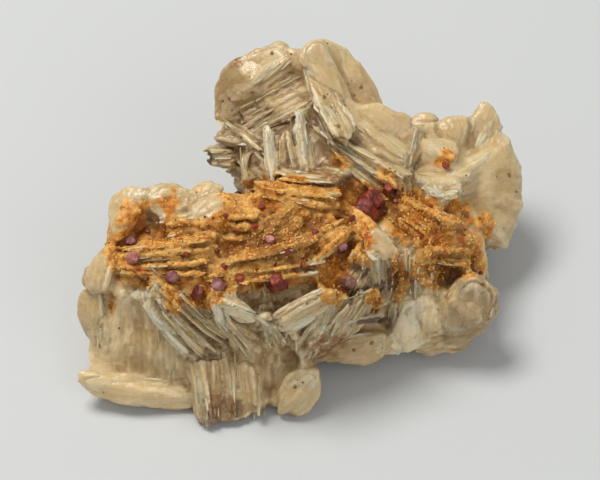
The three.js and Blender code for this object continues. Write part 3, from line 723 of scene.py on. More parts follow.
def fitted_length(root, along, length, limit=MOST_PROUD):
    """The length shortened until the tip stays near the frame's surface, or 0 where it can't."""
    for _ in range(FITTING_TRIES):
        if proud_of(root + along * length) < limit:
            return length
        length *= FITTING_SHARE
    return 0


LENGTH_UNEVEN = 0.08
LEAN_UNEVEN = 3.0
LEAF_PITCH = 0.85
LATH_BREADTH = 1.6
RIM_DEPTH = 0.12
# The blades of an open sheaf are slimmer than the frame's, which leaves gaps between them.
SLIMMING = 0.74
LEAF_OFFSET = 0.06
LATH_SHORTER = 0.25
LATH_UNEVEN = 0.14
LATH_REACH = 0.86
LATH_LIFT = 0.15
LATH_OFFSET = 0.12
STRAY_SHARE = 0.1
STRAY_VEER = 8
# How far blades and leaves lean and turn, in degrees. A lath is one narrow strip of a leaf.
LEAF_LEAN = 1.5
LEAF_VEER = 1.5
LATH_VEER = 1.8
LATH_TILT = 2.0
# A leaf's length and breadth against its blade's, and the place of the outermost lath.
LEAF_SHARE = (0.8, 0.93)
OUTERMOST_LATH = 0.92
CALM_BLUNT = 3.0
BLUNT = 2.2
BLUNTEST_LEAF = 2.6
SHEAF_WHITE = 0.3
PLATE_WHITE = 0.25
SHADE_SPREAD = 0.16
# Sheaves and plates that are whiter and glassier than the rest.
WHITE_FORMS = {
    "white_blade": 1.0,
    "left_spire": 1.0,
    "right_spire": 1.0,
    "glint": 0.9,
    "cross_bars": 1.0,
    "front_post": 0.7,
    "left_sole": 0.5,
    "dome_cheek": 0.0,
    "right_face": 0.15,
    "left_cheek": 0.2,
    "left_knob": 0.6,
    "v_left": 0.6,
    "v_right": 0.7,
    "v_inside": 0.6,
    "front_slant": 0.45,
    "middle_slant": 0.5,
    "v_eave": 0.6,
    "pale_front": 0.8,
    "pale_side": 0.5,
    "fan_cheek": 0.5,
    "fan_tuft": 0.7,
    "fan_horn": 0.4,
    "fan_brow": 0.4,
    "v_roof": 0.3,
    "foot_plate": 0.4,
    "foot_band": 0.3,
    "left_rows": 0.0,
}

# Sheaves with a smooth face: the share of the usual unevenness that they keep.
CALM_FORMS = {
    "fan": 0.2,
    "fan_skirt": 0.3,
    "fan_cheek": 0.15,
    "fan_sill": 0.3,
    "fan_brow": 0.4,
    "left_wall": 0.7,
    "left_knob": 0.3,
    "lens": 0.3,
    "foot_band": 0.4,
    "upper_slant": 0.5,
    "right_rim": 0.5,
    "foot_pleats": 0.8,
}


def shade_of(white):
    """How pale one leaf is, near its sheaf's own shade."""
    return float(np.clip(white + rng.normal(0, SHADE_SPREAD), 0, 1))


def sheaf(bulk, spec, seed):
    """The sheaf's blades as in the frame, each built up from layers of leaves and narrow laths."""
    is_plain = spec.get("plain", False)
    place = plain if is_plain else seen
    facing = UP if is_plain else TO_VIEWER
    turn = math.radians(spec["turn"])
    breadth, thick = spec["breadth"], spec["thick"]
    count, pitch, spread = spec.get("count", 1), spec.get("pitch", 0), spec.get("spread", 0)
    white = WHITE_FORMS.get(spec["name"], SHEAF_WHITE)
    rough = CALM_FORMS.get(spec["name"], 1.0)
    limit = CALM_PROUD if rough <= CALM else MOST_PROUD
    if spec.get("free"):
        limit = math.inf
    root, tip = place(spec["root"]), place(spec["tip"])
    length = np.linalg.norm(tip - root)
    along = (tip - root) / length
    towards = unit(facing - along * np.dot(facing, along))
    normal = turned(towards, along, turn)
    across = unit(np.cross(along, normal))
    root = root + across * breadth / 2 * math.sin(turn)
    for i in range(count):
        step = i - (count - 1) / 2
        share = step / (count - 1) if count > 1 else 0
        loose = 1 if count > 1 else 0
        angle = math.radians(-spread * share + loose * LEAN_UNEVEN * uneven(seed, i))
        long = length * (1 + loose * LENGTH_UNEVEN * uneven(seed + 0.5, i))
        blade_along = turned(along, across, angle)
        blade_normal = turned(normal, across, angle)
        blade_root = root + pitch * step * normal + across * breadth * rng.uniform(0, RIM_DEPTH)
        blade_veer = math.radians(rng.normal(0, LEAF_VEER))
        layers = max(2, round(thick / LEAF_PITCH))
        each = thick / layers * (SLIMMING if count > 1 and rough == 1 else 1)
        blunt = spec.get("blunt", BLUNT)
        for j in range(layers):
            lag = j - (layers - 1) / 2
            lean = math.radians(rng.uniform(-LEAF_LEAN, LEAF_LEAN) + lag * min(2.0, spread / count * 0.3))
            aside = across * rng.uniform(0, LEAF_OFFSET) * breadth
            layer_root = blade_root + blade_normal * lag * each + aside
            layer_normal = turned(blade_normal, across, -lean)
            veer = blade_veer + math.radians(rng.normal(0, LEAF_VEER))
            layer_along = turned(turned(blade_along, across, -lean), layer_normal, veer)
            layer_across = turned(across, layer_normal, veer)
            reach = fitted_length(layer_root, layer_along, long * rng.uniform(*LEAF_SHARE), limit)
            leaf(
                bulk,
                layer_root,
                layer_along,
                layer_across,
                layer_normal,
                reach,
                breadth * rng.uniform(*LEAF_SHARE),
                each * rng.uniform(1.0, 1.2),
                min(blunt, BLUNTEST_LEAF),
                shade_of(white),
                rough,
            )
            laths = max(2, round(breadth / LATH_BREADTH))
            for k in range(laths):
                side = ((k + 0.5) / laths * 2 - 1) * OUTERMOST_LATH
                strays = rng.uniform() < STRAY_SHARE * rough
                veer = math.radians(rng.normal(0, STRAY_VEER if strays else LATH_VEER) * rough)
                tilt = math.radians(rng.normal(0, LATH_TILT) * rough)
                lath_normal = turned(layer_normal, layer_along, tilt)
                lath_along = turned(layer_along, lath_normal, veer)
                reach = long * (1 - LATH_SHORTER * side**2) * (1 - abs(rng.normal(0, LATH_UNEVEN * rough)))
                start = layer_root + layer_across * side * breadth / 2 * LATH_REACH
                start = start + layer_normal * rng.normal(0, LATH_LIFT) * each * rough
                start = start + layer_along * rng.uniform(0, LATH_OFFSET) * long
                leaf(
                    bulk,
                    start,
                    lath_along,
                    unit(np.cross(lath_along, lath_normal)),
                    lath_normal,
                    fitted_length(start, lath_along, reach, limit),
                    breadth / laths * rng.uniform(0.9, 1.5),
                    each * rng.uniform(0.75, 1.2),
                    rng.uniform(1.2, 1.9) if rough > CALM else CALM_BLUNT,
                    shade_of(white),
                    rough,
                )


PLATE_RINGS = 12
PLATE_AROUND = 90
PLATE_RIM = 0.35
PLATE_PITCH = 1.15
PLATE_FACETS = 7
# Chips in the rim: how deep, of what size, and how far the rim lies inward on the whole.
RIM_CHIPS = 0.45
CHIP_SIZE = 1.7
RIM_INWARD = 0.15
CORNER_SHARE = 0.85
CORNER_STEPS = 12
FACET_SLOPES = (0.08, 0.28)
FACET_LEVELS = (0.2, 0.6)
FRONT_EDGE = 11
REAR_EDGE = 5
RIB_RISE = 0.08
RIB_LENGTH = 9
RIB_THICK = (1.0, 1.5)
RIB_BROAD = (1.2, 2.0)
RIB_BLUNT = (1.6, 2.6)
RIB_STEP = (0.8, 1.2)
RIB_PROUD = (0.2, 1.2)
RIB_STRETCH = (0.95, 1.04)
RIB_VEER = 1.5
RIB_CUT = 2
# Ribs stop a little short of the plate's sides, and are sunk a little into its top.
RIB_MARGINS = (0.5, 0.4)
RIB_SINK = 0.9
# How a rugged plate differs: steeper facets, broken face and rim, more small blades.
RUGGED_STEEP = 1.4
RUGGED_SINK = 0.4
RUGGED_RIM = 0.9
RUGGED_STREWN = 0.7
LEAST_STREWN = 0.1
PLATE_TONE = (0.3, 0.9)
RING_SPACING = 1.3
INNERMOST = 0.97
# Above this rise the ribs are open enough for small blades beside them.
OPEN_RISE = 0.15
OPEN_STREWN = 0.9
CLOSED_STREWN = 0.15
# How far the fine ribs of a plate stand out, where it isn't nearly smooth.
RIBS = {
    "ribbed_plate": 0.4,
    "pale_front": 0.32,
    "pale_side": 0.3,
    "right_face": 0.22,
    "left_cheek": 0.22,
    "left_shoulder": 0.2,
    "dome_cheek": 0.14,
    "dome_temple": 0.08,
    "dome_brow": 0.12,
    "spotted_plate": 0.1,
    "left_sole": 0.05,
    "foot_plate": 0.05,
}

# How far the broad crystals' faces are uneven, for the forms that are more or less so than the others.
RUGGED_LEAST = 0.16
RUGGED = {
    "right_face": 0.75,
    "right_base": 0.7,
    "pale_front": 0.42,
    "pale_side": 0.42,
    "spotted_plate": 0.4,
    "foot_plate": 0.4,
    "left_brow": 0.5,
    "left_shoulder": 0.45,
    "left_cheek": 0.4,
    "back_edge_left": 0.6,
    "back_edge": 0.6,
    "bare_patch": 0.5,
    "fan_back": 0.4,
    "fan_crown": 0.3,
    "fan_crown_left": 0.3,
    "fan_crown_right": 0.3,
    "dome_crest": 0.3,
    "dome_saddle": 0.3,
}


BROAD_CRAG = 4.2
FINE_CRAG = 1.7
BROAD_SHARE = 0.68
FINE_SHARE = 0.32


def crags(points, offset):
    """Uneven heights with sharp crests, from -1 to 1, like the broken face of a crystal."""
    broad = 1 - 2 * np.abs(noise(points + offset, BROAD_CRAG))
    fine = 1 - 2 * np.abs(noise(points - offset, FINE_CRAG))
    return broad * BROAD_SHARE + fine * FINE_SHARE


def smooth_outline(corners, count):
    """A closed curve near the corners, between straight and rounded, as evenly spaced points."""
    corners = np.array(corners, float)
    dense = []
    total = len(corners)
    for i in range(total):
        a, b, c, d = (corners[(i + k) % total] for k in (-1, 0, 1, 2))
        for t in np.linspace(0, 1, CORNER_STEPS, endpoint=False):
            bent = (2 * a - 5 * b + 4 * c - d) * t**2
            curve = 0.5 * (2 * b + (c - a) * t + bent + (3 * b - a - 3 * c + d) * t**3)
            straight = b + (c - b) * t
            dense.append(curve + (straight - curve) * CORNER_SHARE)
    dense = np.array(dense)
    steps = np.linalg.norm(np.roll(dense, -1, axis=0) - dense, axis=1)
    walked = np.concatenate([[0], np.cumsum(steps)])
    closed = np.vstack([dense, dense[:1]])
    wanted = np.linspace(0, walked[-1], count, endpoint=False)
    return np.stack([np.interp(wanted, walked, closed[:, k]) for k in (0, 1)], axis=1)


class Facets:
    """The face of a broad crystal: the lowest of several nearly level planes."""

    def __init__(self, span, steep):
        angle = np.linspace(0, 2 * np.pi, PLATE_FACETS, endpoint=False) + rng.uniform(0, 1, PLATE_FACETS)
        slope = rng.uniform(*FACET_SLOPES, PLATE_FACETS) * steep
        self.tilt = np.stack([np.cos(angle), np.sin(angle)]) * slope
        self.level = slope * span * rng.uniform(*FACET_LEVELS, PLATE_FACETS)

    def at(self, across, along):
        """The face's height over places on the plate."""
        flat = np.stack([np.atleast_1d(across), np.atleast_1d(along)], axis=1)
        return (self.level - flat @ self.tilt).min(axis=1)


def crossings_of(across_rim, along_rim, across):
    """Where a line along the ribs enters and leaves the outline."""
    found = []
    for i in range(len(across_rim)):
        here, there = across_rim[i - 1], across_rim[i]
        if (here - across) * (there - across) < 0:
            share = (across - here) / (there - here)
            found.append(along_rim[i - 1] + (along_rim[i] - along_rim[i - 1]) * share)
    return sorted(found)


def plate_ribs(bulk, spec, rim, frame_axes, facets, white):
    """Slender laths side by side along the plate's grain, which break its face and its rim."""
    middle, cross, rib, normal = frame_axes
    across_rim = (rim - middle) @ cross
    along_rim = (rim - middle) @ rib
    rise = RIBS.get(spec["name"], RIB_RISE)
    top = PLATE_RIM * spec["thick"]
    strewn = OPEN_STREWN if rise > OPEN_RISE else CLOSED_STREWN
    across = across_rim.min() + RIB_MARGINS[0]
    while across < across_rim.max() - RIB_MARGINS[1]:
        ends = crossings_of(across_rim, along_rim, across)
        if len(ends) > 1:
            parts = max(1, round((ends[-1] - ends[0]) / RIB_LENGTH))
            cuts = np.linspace(ends[0], ends[-1], parts + 1)
            cuts[1:-1] += rng.uniform(-RIB_CUT, RIB_CUT, parts - 1)
            for low, high in zip(cuts[:-1], cuts[1:]):
                thick = rng.uniform(*RIB_THICK)
                deep = thick / 2 - rise * rng.uniform(*RIB_PROUD)
                low_lift, high_lift = facets.at(np.array([across, across]), np.array([low, high]) * RIB_SINK)
                start = middle + cross * across + rib * low + normal * (top * RIB_SINK + low_lift - deep)
                stop = middle + cross * across + rib * high + normal * (top * RIB_SINK + high_lift - deep)
                if rng.uniform() < 0.5:
                    start, stop = stop, start
                length = np.linalg.norm(stop - start)
                along = turned((stop - start) / length, normal, math.radians(rng.normal(0, RIB_VEER)))
                side = unit(np.cross(along, normal))
                leaf(
                    bulk,
                    start - along * 0.2,
                    along,
                    side,
                    np.cross(side, along),
                    length * rng.uniform(*RIB_STRETCH) + 0.3,
                    PLATE_PITCH * rng.uniform(*RIB_BROAD),
                    thick,
                    rng.uniform(*RIB_BLUNT),
                    shade_of(white),
                    strewn,
                )
        across += PLATE_PITCH * rng.uniform(*RIB_STEP)


def plate(bulk, spec):
    """A broad crystal seen on its face: a slab with flat facets, a bevelled rim and fine ribs."""
    centre = seen(spec["at"])
    normal = turned(TO_VIEWER, RIGHT, math.radians(-spec.get("lean", 0)))
    normal = turned(normal, SHEET_UP, math.radians(spec.get("yaw", 0)))
    rim = []
    for across, down in smooth_outline(spec["outline"], PLATE_AROUND):
        point = seen((across, down, spec["at"][2]))
        rim.append(point + TO_VIEWER * np.dot(centre - point, normal) / np.dot(TO_VIEWER, normal))
    rim = np.array(rim)
    middle = rim.mean(0)
    offset = rng.uniform(*OFFSETS, 3)
    outward = rim - middle
    reach = np.linalg.norm(outward, axis=1, keepdims=True)
    rim = rim + outward / reach * (noise(rim + offset, CHIP_SIZE) * RIM_CHIPS - RIM_INWARD)[:, None]
    thick = spec["thick"]
    angle = math.radians(spec["grain"])
    on_plane = RIGHT * math.cos(angle) + SHEET_UP * math.sin(angle)
    rib = unit(on_plane - normal * np.dot(on_plane, normal))
    cross = np.cross(normal, rib)
    rugged = RUGGED.get(spec["name"], RUGGED_LEAST)
    facets = Facets(reach.mean(), 1 + RUGGED_STEEP * rugged)
    inward = np.linspace(0, 1, PLATE_RINGS)[1:] ** RING_SPACING
    profile = [(t, PLATE_RIM * thick * (1 - (1 - t) ** FRONT_EDGE) ** 0.5) for t in inward[::-1]]
    profile += [(0.0, 0.0)]
    profile += [(t, -(1 - PLATE_RIM) * thick * (1 - (1 - t) ** REAR_EDGE) ** 0.5) for t in inward]
    rows = []
    for t, height in profile:
        ring = middle + (rim - middle) * (1 - INNERMOST * t)
        lift = np.zeros(len(ring))
        if height > 0:
            lift = facets.at((ring - middle) @ cross, (ring - middle) @ rib)
        crag = crags(ring + normal * height, offset) * rugged
        if height > 0:
            rise = height + lift * min(1, 4 * t) + crag * min(1, 3 * t) - rugged * RUGGED_SINK
            rows.append(ring + normal * rise[:, None])
        else:
            broken = crag * RUGGED_RIM * (1 - t)
            rows.append(ring + normal * height + outward / reach * broken[:, None])
    ends = np.stack([rows[0].mean(0), rows[-1].mean(0)])
    white = WHITE_FORMS.get(spec["name"], PLATE_WHITE)
    tone = rng.uniform(*PLATE_TONE)
    strewn = LEAST_STREWN + RUGGED_STREWN * rugged
    form = (middle, cross, rib, normal, offset, tone, white, strewn)
    bulk.add(np.concatenate(rows + [ends]), ring_faces(len(rows), PLATE_AROUND), form)
    plate_ribs(bulk, spec, rim, (middle, cross, rib, normal), facets, white)


# Crust and rust: soft patches on the sheet, as (across, down, half width, half height, tilt in degrees).
CRUST = [
    (36, 48, 15, 8.5, -8), (52, 46, 15, 10, 0), (62, 46, 10, 8.5, 0), (47, 54, 20, 4.6, 4),
    (27, 51, 6.5, 5.5, 0), (67, 55, 4, 6.5, 0), (70, 45, 5, 8, 20), (56, 38.6, 9, 3.6, -5),
    (80, 42, 5, 6, 30), (88, 46, 8, 6, 20), (92, 50, 6, 6.5, 0), (86, 53, 5, 5, 0),
    (80, 56, 2.2, 5, 0), (34.5, 60.5, 1.6, 2.6, 0), (22.6, 61, 0.9, 2.6, 0), (24.6, 43, 1.4, 3.4, -20),
    (89, 31.8, 2.6, 1.8, 20), (68, 32.6, 2.4, 1.4, -35), (77, 35.4, 2.4, 2, -35), (40.6, 60, 4, 2, 0),
    (72, 38.6, 5, 2.6, -20), (97, 45, 2, 3, 0), (75, 60, 1.6, 2.4, 0),
]
# Patches where the mass is darkened towards brown: the dome's left, the right block, the crust's right end.
DUSKY = [
    (46, 20, 7, 10, 0), (95, 64, 8, 10, 0), (44, 84, 6, 4, 0), (90, 49, 9, 7, 20), (76, 42, 6, 3, -35),
    (75, 56, 4, 8, 0),
]
DUSKY_DEPTH = 0.24
# Bare spots in the crust, and rusty stains outside it.
BARE = [(40, 41.4, 4.6, 2.6, 10), (31, 43.2, 2.2, 2.2, 0)]
RUST = [
    (43.6, 82.4, 3.4, 3.6, 0), (58.6, 84, 2, 2, 0), (76, 39.6, 5, 3, -30), (86, 55, 4, 3, 0),
    (66, 68.6, 6, 1.6, 10), (79, 55, 2, 5, 0), (56, 47, 8, 5, 0), (46.4, 12, 2, 1.6, 0),
    (66, 35.6, 6, 1.6, -20), (64, 70, 3, 3, 0),
]
# Painted shade in narrow gaps: the comb at the dome's left, and the cavity right of the middle.
CLEFT_SHADE = [
    (41.4, 31.8, 1.0, 2.0, 0), (78.4, 55.6, 0.9, 2.8, 8), (76.2, 57.2, 0.8, 1.3, 0),
    (74.5, 64.2, 3.4, 0.5, 5),
]
CLEFT_SHADE_DEPTH = 0.3
# How much the painted shade in deep places is taken back on pale and on smooth forms.
PALE_RELIEF = 0.35
SMOOTH_RELIEF = 0.4
CRUST_LOWEST = 9.0
CRUST_FADE = 6


def patch(points, patches, ragged, seed):
    """How much each point lies in the patches, from 0 to 1, with a ragged edge."""
    spots = on_sheet(points)
    best = np.full(len(points), -9.0)
    for across, down, wide, high, tilt in patches:
        angle = math.radians(tilt)
        right = spots[:, 0] - across
        up = down - spots[:, 1]
        along = (right * math.cos(angle) + up * math.sin(angle)) / wide
        beside = (up * math.cos(angle) - right * math.sin(angle)) / high
        best = np.maximum(best, 1 - np.hypot(along, beside))
    rough = noise(points, 2.6, seed) * 0.6 + noise(points, 1.0, seed + 1) * 0.4
    return np.clip((best + ragged * rough) * 3 + 0.35, 0, 1)


def covered(points, normals):
    """Crust and rust values of points: the crust lies only on what faces the sky or the front, above a
    lowest height.
    """
    open_side = np.clip(normals @ unit(TO_VIEWER + UP * 0.5) * 2.0 + 0.55, 0, 1)
    crust = patch(points, CRUST, 0.45, 3) - patch(points, BARE, 0.3, 5)
    high = np.clip((points[:, 2] - CRUST_LOWEST) / CRUST_FADE, 0, 1)
    return np.clip(crust, 0, 1) * open_side * high, patch(points, RUST, 0.5, 9)


# Small combs of leaves on what the sheaves leave bare, mostly the sides and the back.
COMB_COUNT = 130
COMB_APART = 5.4
COMB_LENGTH = (6, 12)
COMB_BREADTH = (4, 7)
COMB_PROUD = (0.4, 1.1)
COMB_LEAVES = (3, 7)
COMB_SPREAD = (2, 26)
# Combs stand where the surface faces away from the viewer, above the foot, and not on the underside.
COMB_FACING = 0.1
COMB_LOWEST = 3.5
COMB_UNDERSIDE = -0.75
COMB_VEER = 0.15
COMB_FALL = 1.1
COMB_ROOT = 0.55
COMB_PITCH = (1.0, 1.4)
COMB_UNEVEN = 3
COMB_THICK = (1.0, 1.6)
COMB_BLUNT = (2.2, 4)
COMB_WHITE = (0, 0.7)
LEAST_BEHIND = 4.0


def well_behind(point):
    """Whether the frame's solid lies thick enough between a point and the viewer."""
    hit, _, _, distance = cad_tree.ray_cast(Vector(point), Vector(TO_VIEWER))
    return hit is not None and distance > LEAST_BEHIND


def combs(bulk, points, normals):
    """Combs of leaves that stand on what faces away from the viewer."""
    order = rng.permutation(len(points))
    hidden = (normals @ TO_VIEWER < COMB_FACING) & (points[:, 2] > COMB_LOWEST)
    hidden &= normals[:, 2] > COMB_UNDERSIDE
    places = []
    for i in order:
        if not hidden[i]:
            continue
        if places and np.min(np.linalg.norm(points[places] - points[i], axis=1)) < COMB_APART:
            continue
        places.append(i)
        if len(places) == COMB_COUNT:
            break
    for i in places:
        across = unit(normals[i] + rng.normal(0, COMB_VEER, 3))
        chance = np.cross(across, rng.normal(0, 1, 3))
        fall = unit(chance + np.cross(np.cross(across, UP), across) * COMB_FALL)
        along = unit(fall - across * np.dot(fall, across))
        normal = np.cross(along, across)
        length = rng.uniform(*COMB_LENGTH)
        breadth = rng.uniform(*COMB_BREADTH)
        proud = rng.uniform(*COMB_PROUD)
        count = rng.integers(*COMB_LEAVES)
        start = points[i] - along * length * COMB_ROOT - across * (breadth / 2 - proud)
        if not all(well_behind(start + along * length * share) for share in (0, 0.5, 1)):
            continue
        spread = math.radians(rng.uniform(*COMB_SPREAD))
        for j in range(count):
            step = j - (count - 1) / 2
            angle = -spread * step / (count - 1) + math.radians(rng.uniform(-COMB_UNEVEN, COMB_UNEVEN))
            root = start + normal * step * rng.uniform(*COMB_PITCH)
            leaf_along = turned(along, across, angle)
            rim = root + across * breadth * 0.4
            leaf(
                bulk,
                root,
                leaf_along,
                across,
                turned(normal, across, angle),
                fitted_length(rim, leaf_along, length * rng.uniform(0.75, 1.05)),
                breadth * rng.uniform(0.85, 1.05),
                rng.uniform(*COMB_THICK),
                rng.uniform(*COMB_BLUNT),
                float(rng.uniform(*COMB_WHITE)),
            )


# The grown-together mass: forms fused into one skin, with fine ridges along the grain and a lumpy crust.
RIDGE = {"height": 0.16, "across": 0.9, "along": 8.0, "crack": 0.22}
CRINKLE = {"height": 0.07, "size": 0.8}
SWELL = {"height": 0.3, "size": 4.5}
LUMPS = ((0.34, 1.9, 39), (0.28, 1.0, 40), (0.16, 0.6, 41))
# Finer ridges on the ridges: how much denser and how high. The cracks lie farther apart.
FINE_RIDGES = {"denser": 2.1, "height": 0.6}
CRACK_SPACING = 0.7
CRACK_SHARPNESS = 5
# The wear that smooth forms keep, and what the crust adds and takes away.
LEAST_WEAR = 0.3
CRUST_COVERS = 0.75
CRUST_HEIGHT = 0.12
FOOT_FADE = 1.5
SMOOTH_SOFTNESS = 0.95
CRUST_SOFTNESS = 0.75
CRUST_SOFTENING = 5
EDGE_SOFTENING = 3


class Grain:
    """Finds the crystal that each point of a skin belongs to, and the point's place in its grain."""

    def __init__(self, bulk_list):
        self.forms = []
        owner = []
        points = []
        faces = []
        shift = 0
        for bulk in bulk_list:
            points.append(bulk.cloud())
            faces.extend([tuple(i + shift for i in face) for face in bulk.faces])
            owner.extend([i + len(self.forms) for i in bulk.face_form])
            self.forms.extend(bulk.forms)
            shift += bulk.count
        self.owner = np.array(owner)
        self.tree = BVHTree.FromPolygons(np.concatenate(points).tolist(), faces)
        self.origin = np.array([form[0] for form in self.forms])
        self.axes = np.array([form[1:4] for form in self.forms])
        self.offset = np.array([form[4] for form in self.forms])
        self.tone = np.array([form[5] for form in self.forms])
        self.pale = np.array([form[6] for form in self.forms])
        self.strewn = np.array([form[7] for form in self.forms])

    def of(self, points):
        """The index of the form that is nearest to each point."""
        find = self.tree.find_nearest
        return self.owner[[find(point)[2] for point in points.tolist()]]

    def local(self, points, form):
        """Each point's place along the axes of its form."""
        return np.einsum("nij,nj->ni", self.axes[form], points - self.origin[form]) + self.offset[form]


def skin(name, points, quads, grain, relief):
    """Wears and covers a fused surface, and gathers what its material needs."""
    normals = quad_normals(points, quads)
    form = grain.of(points)
    local = grain.local(points, form)
    crust, rust = covered(points, normals)
    stretched = local / np.array([RIDGE["across"], RIDGE["along"], RIDGE["across"]])
    height = noise(stretched, 1.0, 31) * RIDGE["height"]
    height += noise(stretched * FINE_RIDGES["denser"], 1.0, 33) * RIDGE["height"] * FINE_RIDGES["height"]
    cracks = np.abs(noise(stretched * CRACK_SPACING, 1.0, 34))
    height -= np.clip(1 - CRACK_SHARPNESS * cracks, 0, 1) * RIDGE["crack"]
    height += noise(points, CRINKLE["size"], 35) * CRINKLE["height"]
    height += noise(points, SWELL["size"], 37) * SWELL["height"]
    rough = grain.strewn[form]
    height *= relief * (LEAST_WEAR + (1 - LEAST_WEAR) * rough)
    lumps = sum(noise(points, size, seed) * size_height for size_height, size, seed in LUMPS)
    height = height * (1 - CRUST_COVERS * crust) + (lumps + CRUST_HEIGHT) * crust
    height *= np.clip(points[:, 2] / FOOT_FADE, 0, 1)
    soft = points
    for _ in range(CRUST_SOFTENING):
        soft = neighbour_mean(soft, quads)
    softness = np.maximum(CRUST_SOFTNESS * crust, SMOOTH_SOFTNESS * (1 - rough))
    points = points + (soft - points) * softness[:, None] + normals * height[:, None]
    normals = quad_normals(points, quads)
    # How far each point bulges out; the material paints a highlight where it bulges and shade where it
    # sinks.
    bulge = -np.einsum("ij,ij->i", neighbour_mean(points, quads) - points, normals)
    for _ in range(EDGE_SOFTENING):
        bulge = 0.5 * bulge + 0.5 * neighbour_mean(bulge, quads)
    return {
        "name": name,
        "points": points,
        "quads": quads,
        "normals": normals,
        "axes": grain.axes[form],
        "strewn": grain.strewn[form],
        "values": {
            "grain": local,
            "tone": grain.tone[form],
            "pale": grain.pale[form],
            "crust": crust,
            "rust": rust,
            "edge": bulge,
            "rough": rough,
        },
    }


# How hidden a place is between the leaves, from the share of filled cells around it, which sets the painted
# shade there.
CELL = 0.5
BLUR_CELLS = 3
LOOK_OUT = 1.4
BORDER = 5


def blurred(grid):
    """The grid smoothed along its three axes."""
    kernel = np.exp(-0.5 * (np.arange(-2 * BLUR_CELLS, 2 * BLUR_CELLS + 1) / BLUR_CELLS) ** 2)
    kernel = kernel / kernel.sum()
    for axis in range(3):
        total = np.zeros_like(grid)
        for i, weight in enumerate(kernel):
            total += weight * np.roll(grid, i - 2 * BLUR_CELLS, axis)
        grid = total
    return grid


class PaintedShadeMap:
    """A coarse map of where the specimen's surface is, to paint shade on what lies deep between leaves."""

    def __init__(self, points):
        self.low = points.min(0) - BORDER
        shape = np.ceil((points.max(0) + BORDER - self.low) / CELL).astype(int)
        grid = np.zeros(shape, np.float32)
        cells = ((points - self.low) / CELL).astype(int)
        grid[cells[:, 0], cells[:, 1], cells[:, 2]] = 1
        self.grid = blurred(grid)

    def at(self, points, normals):
        """The share of filled cells a little way out from each point."""
        cells = ((points + normals * LOOK_OUT - self.low) / CELL).astype(int)
        cells = np.clip(cells, 0, np.array(self.grid.shape) - 1)
        return self.grid[cells[:, 0], cells[:, 1], cells[:, 2]]


# Materials.
class Finish:
    """A small helper that builds a procedural material."""

    def __init__(self, name):
        self.material = bpy.data.materials.new(name)
        self.material.use_nodes = True
        self.tree = self.material.node_tree
        self.shader = self.tree.nodes["Principled BSDF"]

    def set(self, **values):
        for key, value in values.items():
            self.shader.inputs[key.replace("_", " ")].default_value = value

    def link(self, source, socket):
        self.tree.links.new(source, socket)

    def feed(self, node, index, value):
        """Sets an input to a value, or links it to another node's output."""
        if isinstance(value, bpy.types.NodeSocket):
            self.link(value, node.inputs[index])
        else:
            node.inputs[index].default_value = value

    def attribute(self, name, vector=False):
        node = self.tree.nodes.new("ShaderNodeAttribute")
        node.attribute_name = name
        return node.outputs["Vector" if vector else "Fac"]

    def place(self):
        return self.tree.nodes.new("ShaderNodeTexCoord").outputs["Object"]

    def stretched(self, vector, scale):
        node = self.tree.nodes.new("ShaderNodeMapping")
        self.link(vector, node.inputs["Vector"])
        node.inputs["Scale"].default_value = scale
        return node.outputs["Vector"]

    def noise(self, vector, scale, detail=3.0, roughness=0.55):
        node = self.tree.nodes.new("ShaderNodeTexNoise")
        self.link(vector, node.inputs["Vector"])
        node.inputs["Scale"].default_value = scale
        node.inputs["Detail"].default_value = detail
        node.inputs["Roughness"].default_value = roughness
        return node.outputs["Fac"]

    def cells(self, vector, scale):
        node = self.tree.nodes.new("ShaderNodeTexVoronoi")
        self.link(vector, node.inputs["Vector"])
        node.inputs["Scale"].default_value = scale
        return node.outputs["Distance"]

    def math(self, operation, a, b=0.0, clamp=False):
        node = self.tree.nodes.new("ShaderNodeMath")
        node.operation = operation
        node.use_clamp = clamp
        self.feed(node, 0, a)
        self.feed(node, 1, b)
        return node.outputs[0]

    def span(self, value, low, high, out_low=0.0, out_high=1.0):
        """The value's place between low and high, as a value between out_low and out_high."""
        node = self.tree.nodes.new("ShaderNodeMapRange")
        self.link(value, node.inputs["Value"])
        node.inputs["From Min"].default_value = low
        node.inputs["From Max"].default_value = high
        node.inputs["To Min"].default_value = out_low
        node.inputs["To Max"].default_value = out_high
        return node.outputs["Result"]

    def mix(self, share, a, b):
        """Colour a, with a share of colour b laid over it."""
        node = self.tree.nodes.new("ShaderNodeMix")
        node.data_type = "RGBA"
        self.feed(node, 0, share)
        for index, value in ((6, a), (7, b)):
            if isinstance(value, tuple):
                value = (*value, 1.0)
            self.feed(node, index, value)
        return node.outputs[2]

    def bump(self, height, distance, strength=1.0, under=None):
        """A bump of at most distance in millimetres, on top of the bump given as under."""
        node = self.tree.nodes.new("ShaderNodeBump")
        self.link(height, node.inputs["Height"])
        node.inputs["Distance"].default_value = distance * MM
        self.feed(node, "Strength", strength)
        if under is not None:
            self.link(under, node.inputs["Normal"])
        return node.outputs["Normal"]


# Colours. Some of them also paint light: the white a highlight on edges, the pale ochre a highlight on the
# crust, the dark ochre and the rust brown shade in valleys, and the darkest brown shade in deep places.
TAN = (0.52, 0.345, 0.14)
CREAM = (0.79, 0.60, 0.32)
PALE_AND_HIGHLIGHT_WHITE = (0.93, 0.82, 0.59)
OCHRE = (0.70, 0.25, 0.014)
PALE_AND_HIGHLIGHT_OCHRE = (0.90, 0.50, 0.14)
DARK_AND_SHADE_OCHRE = (0.27, 0.07, 0.004)
RED_STAIN = (0.52, 0.07, 0.012)
RUST_AND_SHADE_BROWN = (0.28, 0.11, 0.02)
PAINTED_SHADE_AND_PATCH_BROWN = (0.11, 0.045, 0.008)
DOT_BROWN = (0.42, 0.20, 0.05)
SPECK_BLACK = (0.03, 0.022, 0.018)


